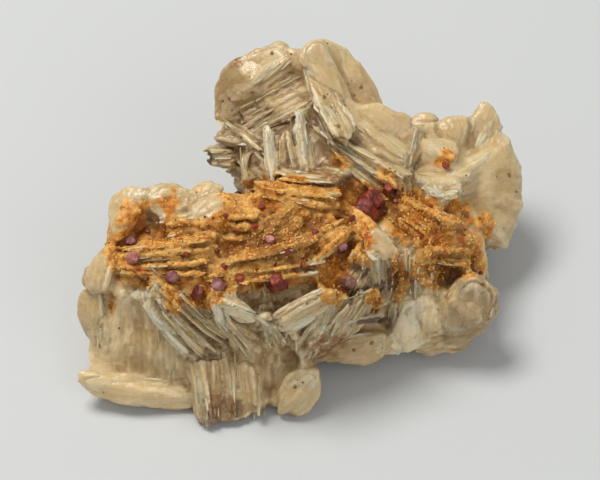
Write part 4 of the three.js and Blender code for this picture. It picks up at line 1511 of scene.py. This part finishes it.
STRIPE_STRETCH = (1.7, 0.10, 2.4)
FINE_STRETCH = (4.5, 0.4, 6.0)
# Sizes of patterns, in repeats to a metre.
BROAD_PATTERN = 170.0
STAIN_PATTERN = 260.0
SPECK_PATTERN = 950.0
CELL_PATTERN = 1300.0
GRAIN_PATTERN = 2200.0
CRYSTAL_PATTERN = 500.0
CRYSTAL_FINE_PATTERN = 2600.0
LUMP_PATTERN = 1800.0


def baryte_finish():
    """Cream crystal striped along its grain, with ochre crust and rust, a painted highlight on edges and
    painted shade in valleys and deep places, by value.
    """
    finish = Finish("baryte")
    grain = finish.attribute("grain", vector=True)
    place = finish.place()
    striped = finish.noise(finish.stretched(grain, STRIPE_STRETCH), 1.0, 4.0, 0.62)
    fine = finish.noise(finish.stretched(grain, FINE_STRETCH), 1.0, 3.0, 0.6)
    broad = finish.noise(place, BROAD_PATTERN, 4.0, 0.6)
    specks = finish.noise(place, SPECK_PATTERN, 3.0, 0.65)
    blend = finish.math("ADD", finish.attribute("pale"), finish.span(striped, 0.3, 0.7, -0.12, 0.12))
    blend = finish.math("ADD", blend, finish.span(broad, 0.3, 0.7, -0.25, 0.35))
    by_tone = finish.span(finish.attribute("tone"), 0.0, 1.0, -0.12, 0.12)
    blend = finish.math("ADD", blend, by_tone, clamp=True)
    colour = finish.mix(blend, TAN, CREAM)
    # Painted highlight: convex places are lightened towards white. Pale forms are whiter by their own
    # colour.
    edge = finish.span(finish.attribute("edge"), 0.004, 0.045)
    white = finish.math("MULTIPLY", edge, finish.span(fine, 0.3, 0.65, 0.1, 0.75))
    white = finish.math("ADD", white, finish.span(blend, 0.75, 1.0, 0.0, 0.65), clamp=True)
    colour = finish.mix(finish.math("MULTIPLY", white, 0.8), colour, PALE_AND_HIGHLIGHT_WHITE)
    # Painted shade in the valleys between ridges, in the rust brown.
    painted_valley_shade = finish.span(finish.attribute("edge"), -0.01, -0.06, 0.0, 0.6)
    colour = finish.mix(painted_valley_shade, colour, RUST_AND_SHADE_BROWN)
    crust = finish.math("ADD", finish.attribute("crust"), finish.span(specks, 0.3, 0.7, -0.25, 0.25))
    crust = finish.span(crust, 0.3, 0.75)
    crust_colour = finish.mix(finish.span(specks, 0.33, 0.58), DARK_AND_SHADE_OCHRE, OCHRE)
    crust_colour = finish.mix(finish.span(broad, 0.44, 0.6, 0.0, 0.85), crust_colour, PALE_AND_HIGHLIGHT_OCHRE)
    # Painted highlight on the crust where it bulges.
    crust_colour = finish.mix(finish.math("MULTIPLY", edge, 0.75), crust_colour, PALE_AND_HIGHLIGHT_OCHRE)
    stain = finish.span(finish.noise(place, STAIN_PATTERN, 3.0, 0.6), 0.6, 0.68, 0.0, 0.75)
    crust_colour = finish.mix(stain, crust_colour, RED_STAIN)
    # Painted shade in the crust's valleys.
    crust_colour = finish.mix(finish.math("MULTIPLY", painted_valley_shade, 1.2, clamp=True), crust_colour, DARK_AND_SHADE_OCHRE)
    colour = finish.mix(crust, colour, crust_colour)
    rust = finish.math("MULTIPLY", finish.attribute("rust"), finish.span(specks, 0.3, 0.52))
    colour = finish.mix(finish.math("MULTIPLY", rust, 0.8), colour, RUST_AND_SHADE_BROWN)
    dirt = finish.span(specks, 0.64, 0.74, 0.0, 0.4)
    colour = finish.mix(dirt, colour, RUST_AND_SHADE_BROWN)
    # Painted shade: deep places and the darkened patches turn dark brown, a little less under the crust.
    deep = finish.span(finish.attribute("hollow"), 0.16, 0.37, 0.0, 0.92)
    deep = finish.math("MULTIPLY", deep, finish.span(crust, 0.0, 1.0, 1.0, 0.75))
    colour = finish.mix(deep, colour, PAINTED_SHADE_AND_PATCH_BROWN)
    finish.link(colour, finish.shader.inputs["Base Color"])
    gloss = finish.span(fine, 0.3, 0.7, 0.16, 0.4)
    dullness = finish.math("ADD", gloss, finish.math("MULTIPLY", crust, 0.3))
    finish.link(dullness, finish.shader.inputs["Roughness"])
    finish.link(finish.span(crust, 0.0, 1.0, 0.5, 0.25), finish.shader.inputs["Specular IOR Level"])
    rough = finish.attribute("rough")
    bump = finish.bump(striped, 0.28, finish.span(rough, 0.0, 1.0, 0.15, 0.8))
    bump = finish.bump(fine, 0.12, finish.span(rough, 0.0, 1.0, 0.3, 0.7), bump)
    bump = finish.bump(finish.cells(place, CELL_PATTERN), 0.12, 0.5, bump)
    bump = finish.bump(specks, 0.3, finish.span(crust, 0.0, 1.0, 0.2, 0.9), bump)
    finish.link(bump, finish.shader.inputs["Normal"])
    finish.set(Subsurface_Weight=0.5, Subsurface_Scale=0.0015, Subsurface_Radius=(1.0, 0.76, 0.52))
    finish.set(IOR=1.64)
    return finish.material


def grain_finish():
    """The crust's grains, from ochre to pale by their tone."""
    finish = Finish("crust_grains")
    tone = finish.attribute("tone")
    specks = finish.noise(finish.place(), GRAIN_PATTERN, 2.0)
    colour = finish.mix(finish.span(tone, 0.0, 0.12), DARK_AND_SHADE_OCHRE, OCHRE)
    colour = finish.mix(finish.span(tone, 0.3, 0.75, 0.0, 0.95), colour, PALE_AND_HIGHLIGHT_OCHRE)
    finish.link(colour, finish.shader.inputs["Base Color"])
    finish.link(finish.span(specks, 0.3, 0.7, 0.3, 0.6), finish.shader.inputs["Roughness"])
    finish.link(finish.bump(specks, 0.06, 0.6), finish.shader.inputs["Normal"])
    finish.set(Subsurface_Weight=0.2, Subsurface_Scale=0.0008, Subsurface_Radius=(1.0, 0.5, 0.2))
    return finish.material


def vanadinite_finish(name, dark, light):
    """Glossy, slightly clear crystal, mottled between two colours."""
    finish = Finish(name)
    place = finish.place()
    broad = finish.noise(place, CRYSTAL_PATTERN, 3.0)
    fine = finish.noise(finish.stretched(place, (1.0, 0.35, 0.35)), CRYSTAL_FINE_PATTERN, 2.0)
    colour = finish.mix(finish.span(broad, 0.35, 0.65), dark, light)
    finish.link(colour, finish.shader.inputs["Base Color"])
    finish.link(finish.span(fine, 0.3, 0.7, 0.38, 0.65), finish.shader.inputs["Roughness"])
    finish.link(finish.bump(broad, 0.45, 0.9, finish.bump(fine, 0.12, 0.9)), finish.shader.inputs["Normal"])
    finish.set(Transmission_Weight=0.2, IOR=1.6)
    return finish.material


def speck_finish(name, colour):
    """Small lumps of one colour, lighter and darker in spots."""
    finish = Finish(name)
    fine = finish.noise(finish.place(), LUMP_PATTERN, 3.0)
    shade = tuple(part * 0.35 for part in colour)
    finish.link(finish.mix(finish.span(fine, 0.3, 0.7), shade, colour), finish.shader.inputs["Base Color"])
    finish.link(finish.span(fine, 0.3, 0.7, 0.3, 0.5), finish.shader.inputs["Roughness"])
    finish.link(finish.bump(fine, 0.08, 0.6), finish.shader.inputs["Normal"])
    return finish.material


# Building the baryte.
PROP_SEED = 100
LEAF_RELIEF = 1.0
GROUND_RELIEF = 1.3
LEAF_VOXEL = 0.36
COARSE_VOXELS = {"baryte_back": 0.55, "baryte_combs": 0.62}
GROUND_VOXEL = 0.62
CLOSING = 1.1
# How far the ground lies under the frame's surface, in millimetres.
GROUND_BELOW = 1.0
GROUND_LEAST = 0.15
# Where the mass is filled nearly up to the frame's surface, as patches on the sheet.
SHALLOW = [
    (99, 37, 14, 17, 0), (25, 68, 10, 9, 0), (60, 14, 16, 8, 0), (88, 27, 12, 7, 0), (91, 65, 11, 10, 0),
    (60, 79, 7, 8, 0), (27, 78, 14, 6, 0), (76, 18, 9, 9, 0), (36, 39, 14, 5, 0), (72, 71, 12, 5, 0),
    (19, 60, 6, 14, 0),
]
# The pieces of the mass: the range of the sheaves they hold, and how the names of their plates begin.
REGIONS = {
    "baryte_dome": ((0, 16), "dome_"),
    "baryte_fan": ((16, 22), "fan_"),
    "baryte_right": ((22, 29), ("right_", "pale_", "ribbed_", "spotted_")),
    "baryte_middle": ((29, 37), ()),
    "baryte_front": ((37, 43), ("left_sole", "left_cheek")),
    "baryte_top": ((43, 49), ("left_brow", "left_shoulder", "back_edge", "bare_patch")),
    "baryte_foot": ((49, 51), "foot_"),
    "baryte_back": ((51, 57), ()),
}


def ground_skin():
    """The frame's solid with the narrow gaps between its blades filled, a little under its surface."""
    points, quads = remeshed(cad_points, cad_faces, GROUND_VOXEL)
    points, quads = remeshed(points + quad_normals(points, quads) * CLOSING, quads, GROUND_VOXEL)
    depth = GROUND_BELOW * (1 - patch(points, SHALLOW, 0, 1) * (points @ TO_VIEWER > 4))
    back = CLOSING + np.maximum(depth, GROUND_LEAST)
    points, quads = remeshed(points - quad_normals(points, quads) * back[:, None], quads, GROUND_VOXEL)
    return points, quads


# The fewest faces a closed bit of a mesh may have.
LEAST_ISLAND = 60


def without_crumbs(points, quads, values):
    """The mesh without the tiny closed bits that the voxels leave inside it."""
    island = np.arange(len(points))
    while True:
        lowest = island[quads].min(axis=1)
        joined = island.copy()
        for k in range(4):
            np.minimum.at(joined, quads[:, k], lowest)
        joined = joined[joined]
        if (joined == island).all():
            break
        island = joined
    size = np.bincount(island[quads[:, 0]], minlength=len(points))
    kept = size[island] >= LEAST_ISLAND
    place_of = np.cumsum(kept) - 1
    quads = place_of[quads[kept[quads[:, 0]]]]
    return points[kept], quads, {key: np.asarray(data)[kept] for key, data in values.items()}


bulks = {}
for name, ((first, last), prefixes) in REGIONS.items():
    bulk = Bulk()
    for index in range(first, last):
        sheaf(bulk, SHEAVES[index], index + 1)
    for spec in PLATES:
        if spec["name"].startswith(prefixes):
            plate(bulk, spec)
    bulks[name] = bulk
for index, spec in enumerate(PROPS):
    sheaf(bulks["baryte_top"], spec, PROP_SEED + index)
ground_points, ground_quads = ground_skin()
comb_bulk = Bulk()
combs(comb_bulk, ground_points, quad_normals(ground_points, ground_quads))
bulks["baryte_combs"] = comb_bulk

skins = []
for name, bulk in bulks.items():
    points, quads = remeshed(bulk.cloud(), bulk.faces, COARSE_VOXELS.get(name, LEAF_VOXEL))
    skins.append(skin(name, points, quads, Grain([bulk]), LEAF_RELIEF))
skins.append(skin("baryte_ground", ground_points, ground_quads, Grain(list(bulks.values())), GROUND_RELIEF))
all_points = np.concatenate([one["points"] for one in skins])
painted_shade_map = PaintedShadeMap(all_points)
# Painted shade: darker where the surface lies deep among the leaves, less on pale and smooth forms, with
# more in the listed narrow gaps and the darkened patches.
for one in skins:
    cleft_shade = patch(one["points"], CLEFT_SHADE, 0.3, 15) * (one["points"] @ TO_VIEWER > 0)
    deep = painted_shade_map.at(one["points"], one["normals"]) * (1 - PALE_RELIEF * one["values"]["pale"])
    deep = deep * (1 - SMOOTH_RELIEF + SMOOTH_RELIEF * one["values"]["rough"])
    deep = np.maximum(deep, DUSKY_DEPTH * patch(one["points"], DUSKY, 0.5, 15))
    one["values"]["hollow"] = deep + CLEFT_SHADE_DEPTH * cleft_shade

baryte_material = baryte_finish()
made = {}
for one in skins:
    points, quads, values = without_crumbs(one["points"], one["quads"], one["values"])
    made[one["name"]] = mesh_object(one["name"], points, quads, [baryte_material], **values)
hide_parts("baryte")

# All the baryte as one tree, to set small things on its surface.
shift = 0
all_faces = []
for one in skins:
    all_faces.extend((one["quads"] + shift).tolist())
    shift += len(one["points"])
surface = BVHTree.FromPolygons(all_points.tolist(), all_faces)
all_normals = np.concatenate([one["normals"] for one in skins])
all_axes = np.concatenate([one["axes"] for one in skins])
all_strewn = np.concatenate([one["strewn"] for one in skins])
all_crust = np.concatenate([one["values"]["crust"] for one in skins])
all_painted_shade = np.concatenate([one["values"]["hollow"] for one in skins])
all_pale = np.concatenate([one["values"]["pale"] for one in skins])
EYE = -MIDDLE + TO_VIEWER * SIGHT["distance"]


def landed(across, down):
    """Where the line of sight through a place on the sheet meets the specimen: point and normal."""
    right = across - SHEET["width"] / 2
    up = SHEET["height"] / 2 - down
    target = -MIDDLE + RIGHT * right + SHEET_UP * up
    hit, normal, _, _ = surface.ray_cast(Vector(EYE), Vector(target - EYE))
    if hit is None:
        return None
    return np.array(hit), np.array(normal)


def frame_of(axis):
    """Two directions square to an axis."""
    helper = np.array([0.3, 0.8, 0.5])
    side = unit(np.cross(axis, helper))
    return side, np.cross(axis, side)


# Small crisp blades that lie in the grain of the mass.
BLADE_COUNT = 2200
BLADE_SIDE = np.array([1, 0.55, -0.55, -1, -0.55, 0.55])
BLADE_LIFT = np.array([0, 1, 1, 0, -1, -1])
BLADE_SHARE = np.array([0.0, 0.4, 0.82, 1.0])
BLADE_HALF = np.array([0.5, 1.0, 0.8, 0.14])
BLADE_THIN = np.array([0.8, 1, 0.9, 0.4])
BLADE_PROUD = (0.05, 0.32)
BLADE_LENGTH = (2.5, 8.0)
BLADE_BREADTH = (0.7, 2.0)
BLADE_THICK = (0.28, 0.6)
# How often a small blade points the other way, and how far it turns and tilts, in degrees.
REVERSED_SHARE = 0.15
BLADE_VEER = 5
BLADE_TILT = 8
BLADE_WHITER = (0, 0.45)
CRUSTED_SHARE = 0.7
# Edge values of a small blade's rims and faces, which set its painted highlight.
RIM_EDGE = 0.05
FACE_EDGE = 0.012
# How far the ends of a small blade may stand out of the mass.
TIP_OUT = 0.18
ROOT_OUT = 0.1
MOST_OUTWARD = 0.45
BLADE_FACES = ring_faces(len(BLADE_SHARE), len(BLADE_SIDE))
SHORTEST_BLADE = 1.6


def sticks_out(point):
    """How far a point stands out of the mass, negative inside it."""
    hit, normal, _, distance = surface.find_nearest(Vector(point))
    return math.copysign(distance, (Vector(point) - hit).dot(normal))


def small_blades():
    """Loose blades in the mass, in the direction of the crystals they lie in."""
    points = []
    faces = []
    names = ("grain", "tone", "pale", "crust", "rust", "edge", "hollow", "rough")
    values = {name: [] for name in names}
    facing = np.clip(all_normals @ TO_VIEWER + 0.9, 0.25, 1.2)
    weight = all_strewn**2 * facing * np.clip(1.1 - all_crust, 0.3, 1)
    weight *= np.clip(1.2 - 2 * all_painted_shade, 0.05, 1)
    chosen = rng.choice(len(all_points), BLADE_COUNT, p=weight / weight.sum())
    for i in chosen:
        out = all_normals[i]
        across, along, normal = all_axes[i]
        if rng.uniform() < REVERSED_SHARE:
            along = -along
        along = turned(along, normal, math.radians(rng.normal(0, BLADE_VEER)))
        normal = turned(normal, along, math.radians(rng.normal(0, BLADE_TILT)))
        across = unit(np.cross(along, normal))
        normal = np.cross(across, along)
        if abs(np.dot(along, out)) > MOST_OUTWARD:
            continue
        length = rng.uniform(*BLADE_LENGTH) * (1 - 0.5 * all_crust[i])
        breadth = rng.uniform(*BLADE_BREADTH)
        thick = rng.uniform(*BLADE_THICK)
        reach = abs(np.dot(out, normal)) * thick / 2 + abs(np.dot(out, across)) * breadth / 2
        middle = all_points[i] + out * (rng.uniform(*BLADE_PROUD) - reach)
        root = middle - along * length * 0.5
        while length > SHORTEST_BLADE and sticks_out(root + along * length) > TIP_OUT:
            length *= 0.85
        if length < SHORTEST_BLADE or sticks_out(root) > ROOT_OUT:
            continue
        half = BLADE_HALF * breadth / 2 * rng.uniform(0.85, 1.15, len(BLADE_HALF))
        grid = (
            root
            + (BLADE_SHARE * length)[:, None, None] * along
            + (half[:, None] * BLADE_SIDE)[..., None] * across
            + (BLADE_THIN[:, None] * BLADE_LIFT * thick / 2)[..., None] * normal
        )
        ends = np.stack([root - along * 0.05, grid[-1].mean(0) + along * 0.08])
        shape = np.concatenate([grid.reshape(-1, 3), ends])
        faces.extend([tuple(k + len(points) * len(shape) for k in face) for face in BLADE_FACES])
        points.append(shape)
        count = len(shape)
        flat = shape - root
        local = np.stack([flat @ across, flat @ along, flat @ normal], 1)
        values["grain"].append(local + rng.uniform(*OFFSETS, 3))
        values["tone"].append(np.full(count, rng.uniform(0, 1)))
        values["pale"].append(np.full(count, all_pale[i] + rng.uniform(*BLADE_WHITER)))
        values["crust"].append(np.full(count, all_crust[i] * (rng.uniform() < CRUSTED_SHARE)))
        values["rust"].append(np.zeros(count))
        # The rims get a painted highlight through their edge value.
        rims = np.concatenate([np.tile(np.abs(BLADE_SIDE) > 0.9, len(BLADE_SHARE)), [False, True]])
        values["edge"].append(np.where(rims, RIM_EDGE, FACE_EDGE))
        # Each small blade takes part of the painted shade of the place it lies in.
        values["hollow"].append(np.full(count, all_painted_shade[i] * 0.7))
        values["rough"].append(np.ones(count))
    gathered = {key: np.concatenate(parts) for key, parts in values.items()}
    cloud = np.concatenate(points)
    return mesh_object("baryte_blades", cloud, faces, [baryte_material], smooth=False, **gathered)


made["baryte_blades"] = small_blades()

OCTAHEDRON = np.array([[1, 0, 0], [-1, 0, 0], [0, 1, 0], [0, -1, 0], [0, 0, 1], [0, 0, -1]], float)
OCTAHEDRON_FACES = [
    (0, 2, 4), (2, 1, 4), (1, 3, 4), (3, 0, 4), (2, 0, 5), (1, 2, 5), (3, 1, 5), (0, 3, 5),
]

GRAIN_COUNT = 9500
GRAIN_SIZE = (0.18, 0.46)
GRAIN_STRAY = 0.35
GRAIN_FARTHEST = 1


def crust_grains():
    """Small crystals of the crust, strewn over the crusted leaves."""
    bulk = Bulk()
    weight = np.clip(all_crust - 0.2, 0, 1)
    chosen = rng.choice(len(all_points), GRAIN_COUNT, p=weight / weight.sum())
    for i in chosen:
        side, other = frame_of(all_normals[i])
        place = all_points[i] + side * rng.normal(0, GRAIN_STRAY) + other * rng.normal(0, GRAIN_STRAY)
        hit, _, _, distance = surface.find_nearest(Vector(place))
        if hit is None or distance > GRAIN_FARTHEST:
            continue
        spin = rng.normal(0, 1, (3, 3))
        basis, _ = np.linalg.qr(spin)
        size = rng.uniform(*GRAIN_SIZE) * np.array([1, rng.uniform(0.5, 0.9), rng.uniform(0.2, 0.5)])
        bulk.add(np.array(hit) + (OCTAHEDRON * size) @ basis, OCTAHEDRON_FACES, tone=rng.uniform(0, 1))
    return mesh_object(
        "crust_grains", bulk.cloud(), bulk.faces, [grain_finish()],
        smooth=False, tone=np.concatenate(bulk.tones),
    )


made["crust_grains"] = crust_grains()


# Dots and specks on the front, in millimetres on the sheet: (across, down, size).
BROWN_DOTS = [
    (45.8, 19.6, 0.5), (50.4, 18.4, 0.45), (64.8, 19.4, 0.5), (66.2, 21.6, 0.4), (67.6, 25.2, 0.5),
    (72.2, 17.4, 0.5), (70.8, 19.0, 0.4), (55.8, 24.2, 0.5), (54.4, 10.6, 0.5), (101.8, 35.0, 0.6),
    (70.8, 70.0, 0.45), (74.4, 68.6, 0.55), (59.0, 77.4, 0.5), (44.0, 69.6, 0.45), (20.0, 69.2, 0.4),
]
BLACK_SPECKS = [
    (41.0, 43.4, 0.3), (42.6, 43.6, 0.28), (44.6, 20.2, 0.25), (46.4, 22.0, 0.22), (47.8, 22.4, 0.25),
    (49.4, 20.8, 0.2), (58.2, 10.8, 0.25), (21.8, 48.6, 0.3), (23.8, 65.6, 0.25), (93.0, 46.0, 0.35),
]
STREWN_SPECKS = 320
STREWN_DOTS = 40
STREWN_SIZE = (0.08, 0.22)
STREWN_LOWEST = 4
SPOT_SHARE = 0.8
BLOB_RINGS = 5
BLOB_AROUND = 8


def blob(bulk, place, normal, size):
    """A small flattened lump with an uneven surface."""
    side, other = frame_of(normal)
    rows = []
    for i in range(BLOB_RINGS):
        polar = np.pi * (i + 0.7) / (BLOB_RINGS + 0.4)
        angle = np.linspace(0, 2 * np.pi, BLOB_AROUND, endpoint=False) + i * 0.3
        radius = size * np.sin(polar) * rng.uniform(0.85, 1.12, BLOB_AROUND)
        height = size * 0.55 * np.cos(polar)
        ring = np.cos(angle)[:, None] * side + np.sin(angle)[:, None] * other
        rows.append(place + radius[:, None] * ring + height * normal)
    ends = np.stack([place + normal * size * 0.6, place - normal * size * 0.6])
    bulk.add(np.concatenate(rows + [ends]), ring_faces(BLOB_RINGS, BLOB_AROUND))


def specks(name, spots, colour, strewn):
    """Lumps at given spots, and more of them strewn over the specimen."""
    bulk = Bulk()
    for across, down, size in spots:
        found = landed(across, down)
        if found is not None:
            blob(bulk, found[0], found[1], size * SPOT_SHARE)
    count = 0
    while count < strewn:
        i = rng.integers(len(all_points))
        hit, normal, _, _ = surface.find_nearest(Vector(all_points[i]))
        if all_points[i][2] > STREWN_LOWEST:
            blob(bulk, np.array(hit), np.array(normal), rng.uniform(*STREWN_SIZE))
            count += 1
    return mesh_object(name, bulk.cloud(), bulk.faces, [speck_finish(name, colour)])


made["brown_dots"] = specks("brown_dots", BROWN_DOTS, DOT_BROWN, STREWN_DOTS)
made["black_specks"] = specks("black_specks", BLACK_SPECKS, SPECK_BLACK, STREWN_SPECKS)


# The smallest vanadinite crystals: (across, down, breadth, length) on the sheet, in millimetres.
SMALL_CRYSTALS = [
    (48.0, 38.6, 1.3, 1.6), (52.4, 41.8, 1.4, 1.5), (48.2, 56.2, 1.3, 1.7), (63.2, 46.6, 1.2, 1.4),
    (45.0, 53.4, 1.1, 1.3), (89.0, 33.0, 1.2, 1.5), (54.8, 55.8, 1.2, 1.4), (75.8, 42.4, 1.3, 1.6),
    (29.6, 46.2, 1.0, 1.2), (37.4, 50.6, 1.0, 1.3), (60.6, 53.0, 1.0, 1.3),
    (70.6, 43.6, 1.2, 1.5), (76.2, 40.8, 1.2, 1.5), (73.8, 41.0, 2.0, 2.0), (72.0, 40.2, 1.6, 2.0),
    (79.4, 38.4, 1.0, 1.6), (79.0, 40.4, 0.9, 1.2), (66.0, 51.0, 1.0, 1.3), (51.2, 45.2, 1.0, 1.4),
    (43.2, 50.2, 1.0, 1.2), (57.4, 50.2, 1.0, 1.2), (84.6, 47.4, 0.9, 1.2), (69.4, 57.0, 0.9, 1.2),
]
CRYSTAL_TONES = {
    "red": ((0.13, 0.012, 0.004), (0.44, 0.05, 0.014)),
    "pink": ((0.34, 0.05, 0.04), (0.74, 0.32, 0.25)),
    "violet": ((0.20, 0.03, 0.035), (0.50, 0.22, 0.21)),
    "smoky": ((0.12, 0.035, 0.02), (0.34, 0.16, 0.10)),
}
TINY_CRYSTALS = 46
TINY_BREADTH = (0.45, 0.9)
TINY_LENGTH = (0.6, 1.1)
HEXAGON = 6
HEXAGON_UNEVEN = (0.72, 1.12)


def prism(bulk, place, axis, breadth, length):
    """A stubby hexagonal prism with its far end bevelled."""
    side, other = frame_of(axis)
    radius = breadth / math.sqrt(3)
    spin = rng.uniform(0, np.pi)
    angle = np.linspace(0, 2 * np.pi, HEXAGON, endpoint=False) + spin
    ring = np.cos(angle)[:, None] * side + np.sin(angle)[:, None] * other
    ring *= rng.uniform(*HEXAGON_UNEVEN, (HEXAGON, 1))
    rows = [
        place - axis * length * 0.4 + ring * radius,
        place + axis * length * 0.5 + ring * radius,
        place + axis * length * 0.6 + ring * radius * 0.8,
    ]
    ends = np.stack([rows[0].mean(0), rows[-1].mean(0)])
    bulk.add(np.concatenate(rows + [ends]), ring_faces(3, HEXAGON))


def small_crystals():
    """The smallest crystals at their places, and still smaller ones strewn over the crust."""
    bulk = Bulk()
    for across, down, breadth, length in SMALL_CRYSTALS:
        found = landed(across, down)
        if found is not None:
            axis = unit(found[1] + TO_VIEWER * 0.6 + rng.normal(0, 0.35, 3))
            prism(bulk, found[0], axis, breadth, length)
    chosen = rng.choice(len(all_points), TINY_CRYSTALS, p=all_crust / all_crust.sum())
    for i in chosen:
        hit, normal, _, _ = surface.find_nearest(Vector(all_points[i]))
        axis = unit(np.array(normal) + rng.normal(0, 0.5, 3))
        prism(bulk, np.array(hit), axis, rng.uniform(*TINY_BREADTH), rng.uniform(*TINY_LENGTH))
    finish = vanadinite_finish("vanadinite_small", *CRYSTAL_TONES["red"])
    return mesh_object("vanadinite_small", bulk.cloud(), bulk.faces, [finish], smooth=False)


CRYSTAL_LOOKS = {
    "vanadinite_large": "red",
    "vanadinite_front": "red",
    "vanadinite_centre": "pink",
    "vanadinite_violet": "violet",
    "vanadinite_scarlet": "red",
    "vanadinite_plum": "violet",
    "vanadinite_left": "violet",
    "vanadinite_left_pale": "pink",
    "vanadinite_notch": "violet",
    "vanadinite_smoky": "smoky",
    "vanadinite_ledge": "red",
}
made["vanadinite_small"] = small_crystals()

# The large crystals are rough all over, the large cluster most.
CRYSTAL_EDGE = 0.09
CRYSTAL_BUMPS = 0.9
DIVISIONS = 3
ROUGHNESS = 0.5
LARGE_DIVISIONS = 4
LARGE_ROUGHNESS = 0.6
clouds = bpy.data.textures.new("clouds", "CLOUDS")
clouds.noise_scale = CRYSTAL_BUMPS * MM
clouds.noise_depth = 3
crystal_finishes = {
    look: vanadinite_finish(f"vanadinite_{look}", *tones) for look, tones in CRYSTAL_TONES.items()
}
for node, look in CRYSTAL_LOOKS.items():
    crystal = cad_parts[node]
    crystal.data.materials.clear()
    crystal.data.materials.append(crystal_finishes[look])
    bevel = crystal.modifiers.new("edges", "BEVEL")
    bevel.width = CRYSTAL_EDGE * MM
    bevel.segments = 2
    bevel.limit_method = "ANGLE"
    bevel.angle_limit = math.radians(20)
    is_large = node == "vanadinite_large"
    divide = crystal.modifiers.new("divide", "SUBSURF")
    divide.subdivision_type = "SIMPLE"
    divide.levels = LARGE_DIVISIONS if is_large else DIVISIONS
    divide.render_levels = divide.levels
    roughen = crystal.modifiers.new("roughen", "DISPLACE")
    roughen.texture = clouds
    roughen.texture_coords = "GLOBAL"
    roughen.strength = (LARGE_ROUGHNESS if is_large else ROUGHNESS) * MM
    roughen.mid_level = 0.5

for name, piece in made.items():
    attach(piece, "root")


# The floor, the light and the camera.
FLOOR_REACH = 3.0
FLOOR_GREY = (0.61, 0.62, 0.615, 1.0)
SKY_WHITE = (0.94, 0.97, 1.0, 1.0)
SKY_STRENGTH = 0.37
LIT_POINT = (0, 0, 0.02)


def floor():
    """The table under the specimen."""
    mesh = bpy.data.meshes.new("floor")
    corners = [(x * FLOOR_REACH, y * FLOOR_REACH, 0) for x, y in ((-1, -1), (1, -1), (1, 1), (-1, 1))]
    mesh.from_pydata(corners, [], [(0, 1, 2, 3)])
    piece = bpy.data.objects.new("floor", mesh)
    bpy.context.scene.collection.objects.link(piece)
    finish = Finish("floor")
    finish.set(Base_Color=FLOOR_GREY, Roughness=0.9)
    mesh.materials.append(finish.material)
    return piece


floor()


def lamp(name, place, size, power, colour):
    """A round soft lamp that faces the specimen. Sizes and places are in metres."""
    data = bpy.data.lights.new(name, "AREA")
    data.shape = "DISK"
    data.size = size
    data.energy = power
    data.color = colour
    piece = bpy.data.objects.new(name, data)
    piece.location = place
    piece.rotation_euler = (Vector(LIT_POINT) - Vector(place)).to_track_quat("-Z", "Y").to_euler()
    bpy.context.scene.collection.objects.link(piece)


lamp("key", (-0.24, 0.14, 0.72), 0.34, 4.5, (1.0, 0.985, 0.955))
lamp("front", (0.5, -0.7, 0.6), 0.9, 2.1, (0.97, 0.985, 1.0))

world = bpy.data.worlds.new("studio")
world.use_nodes = True
background = world.node_tree.nodes["Background"]
background.inputs["Color"].default_value = SKY_WHITE
background.inputs["Strength"].default_value = SKY_STRENGTH
bpy.context.scene.world = world
bpy.context.scene.view_settings.view_transform = "Standard"

camera_data = bpy.data.cameras.new("camera")
camera_data.sensor_width = 36.0
camera_data.lens = camera_data.sensor_width * SIGHT["distance"] / SHEET["width"]
camera_data.clip_start = 0.01
camera = bpy.data.objects.new("camera", camera_data)
rotation = np.stack([RIGHT, SHEET_UP, TO_VIEWER], axis=1)
place = EYE * MM
camera.matrix_world = Matrix.Translation(Vector(place)) @ Matrix(rotation.tolist()).to_4x4()
bpy.context.scene.collection.objects.link(camera)
bpy.context.scene.camera = camera
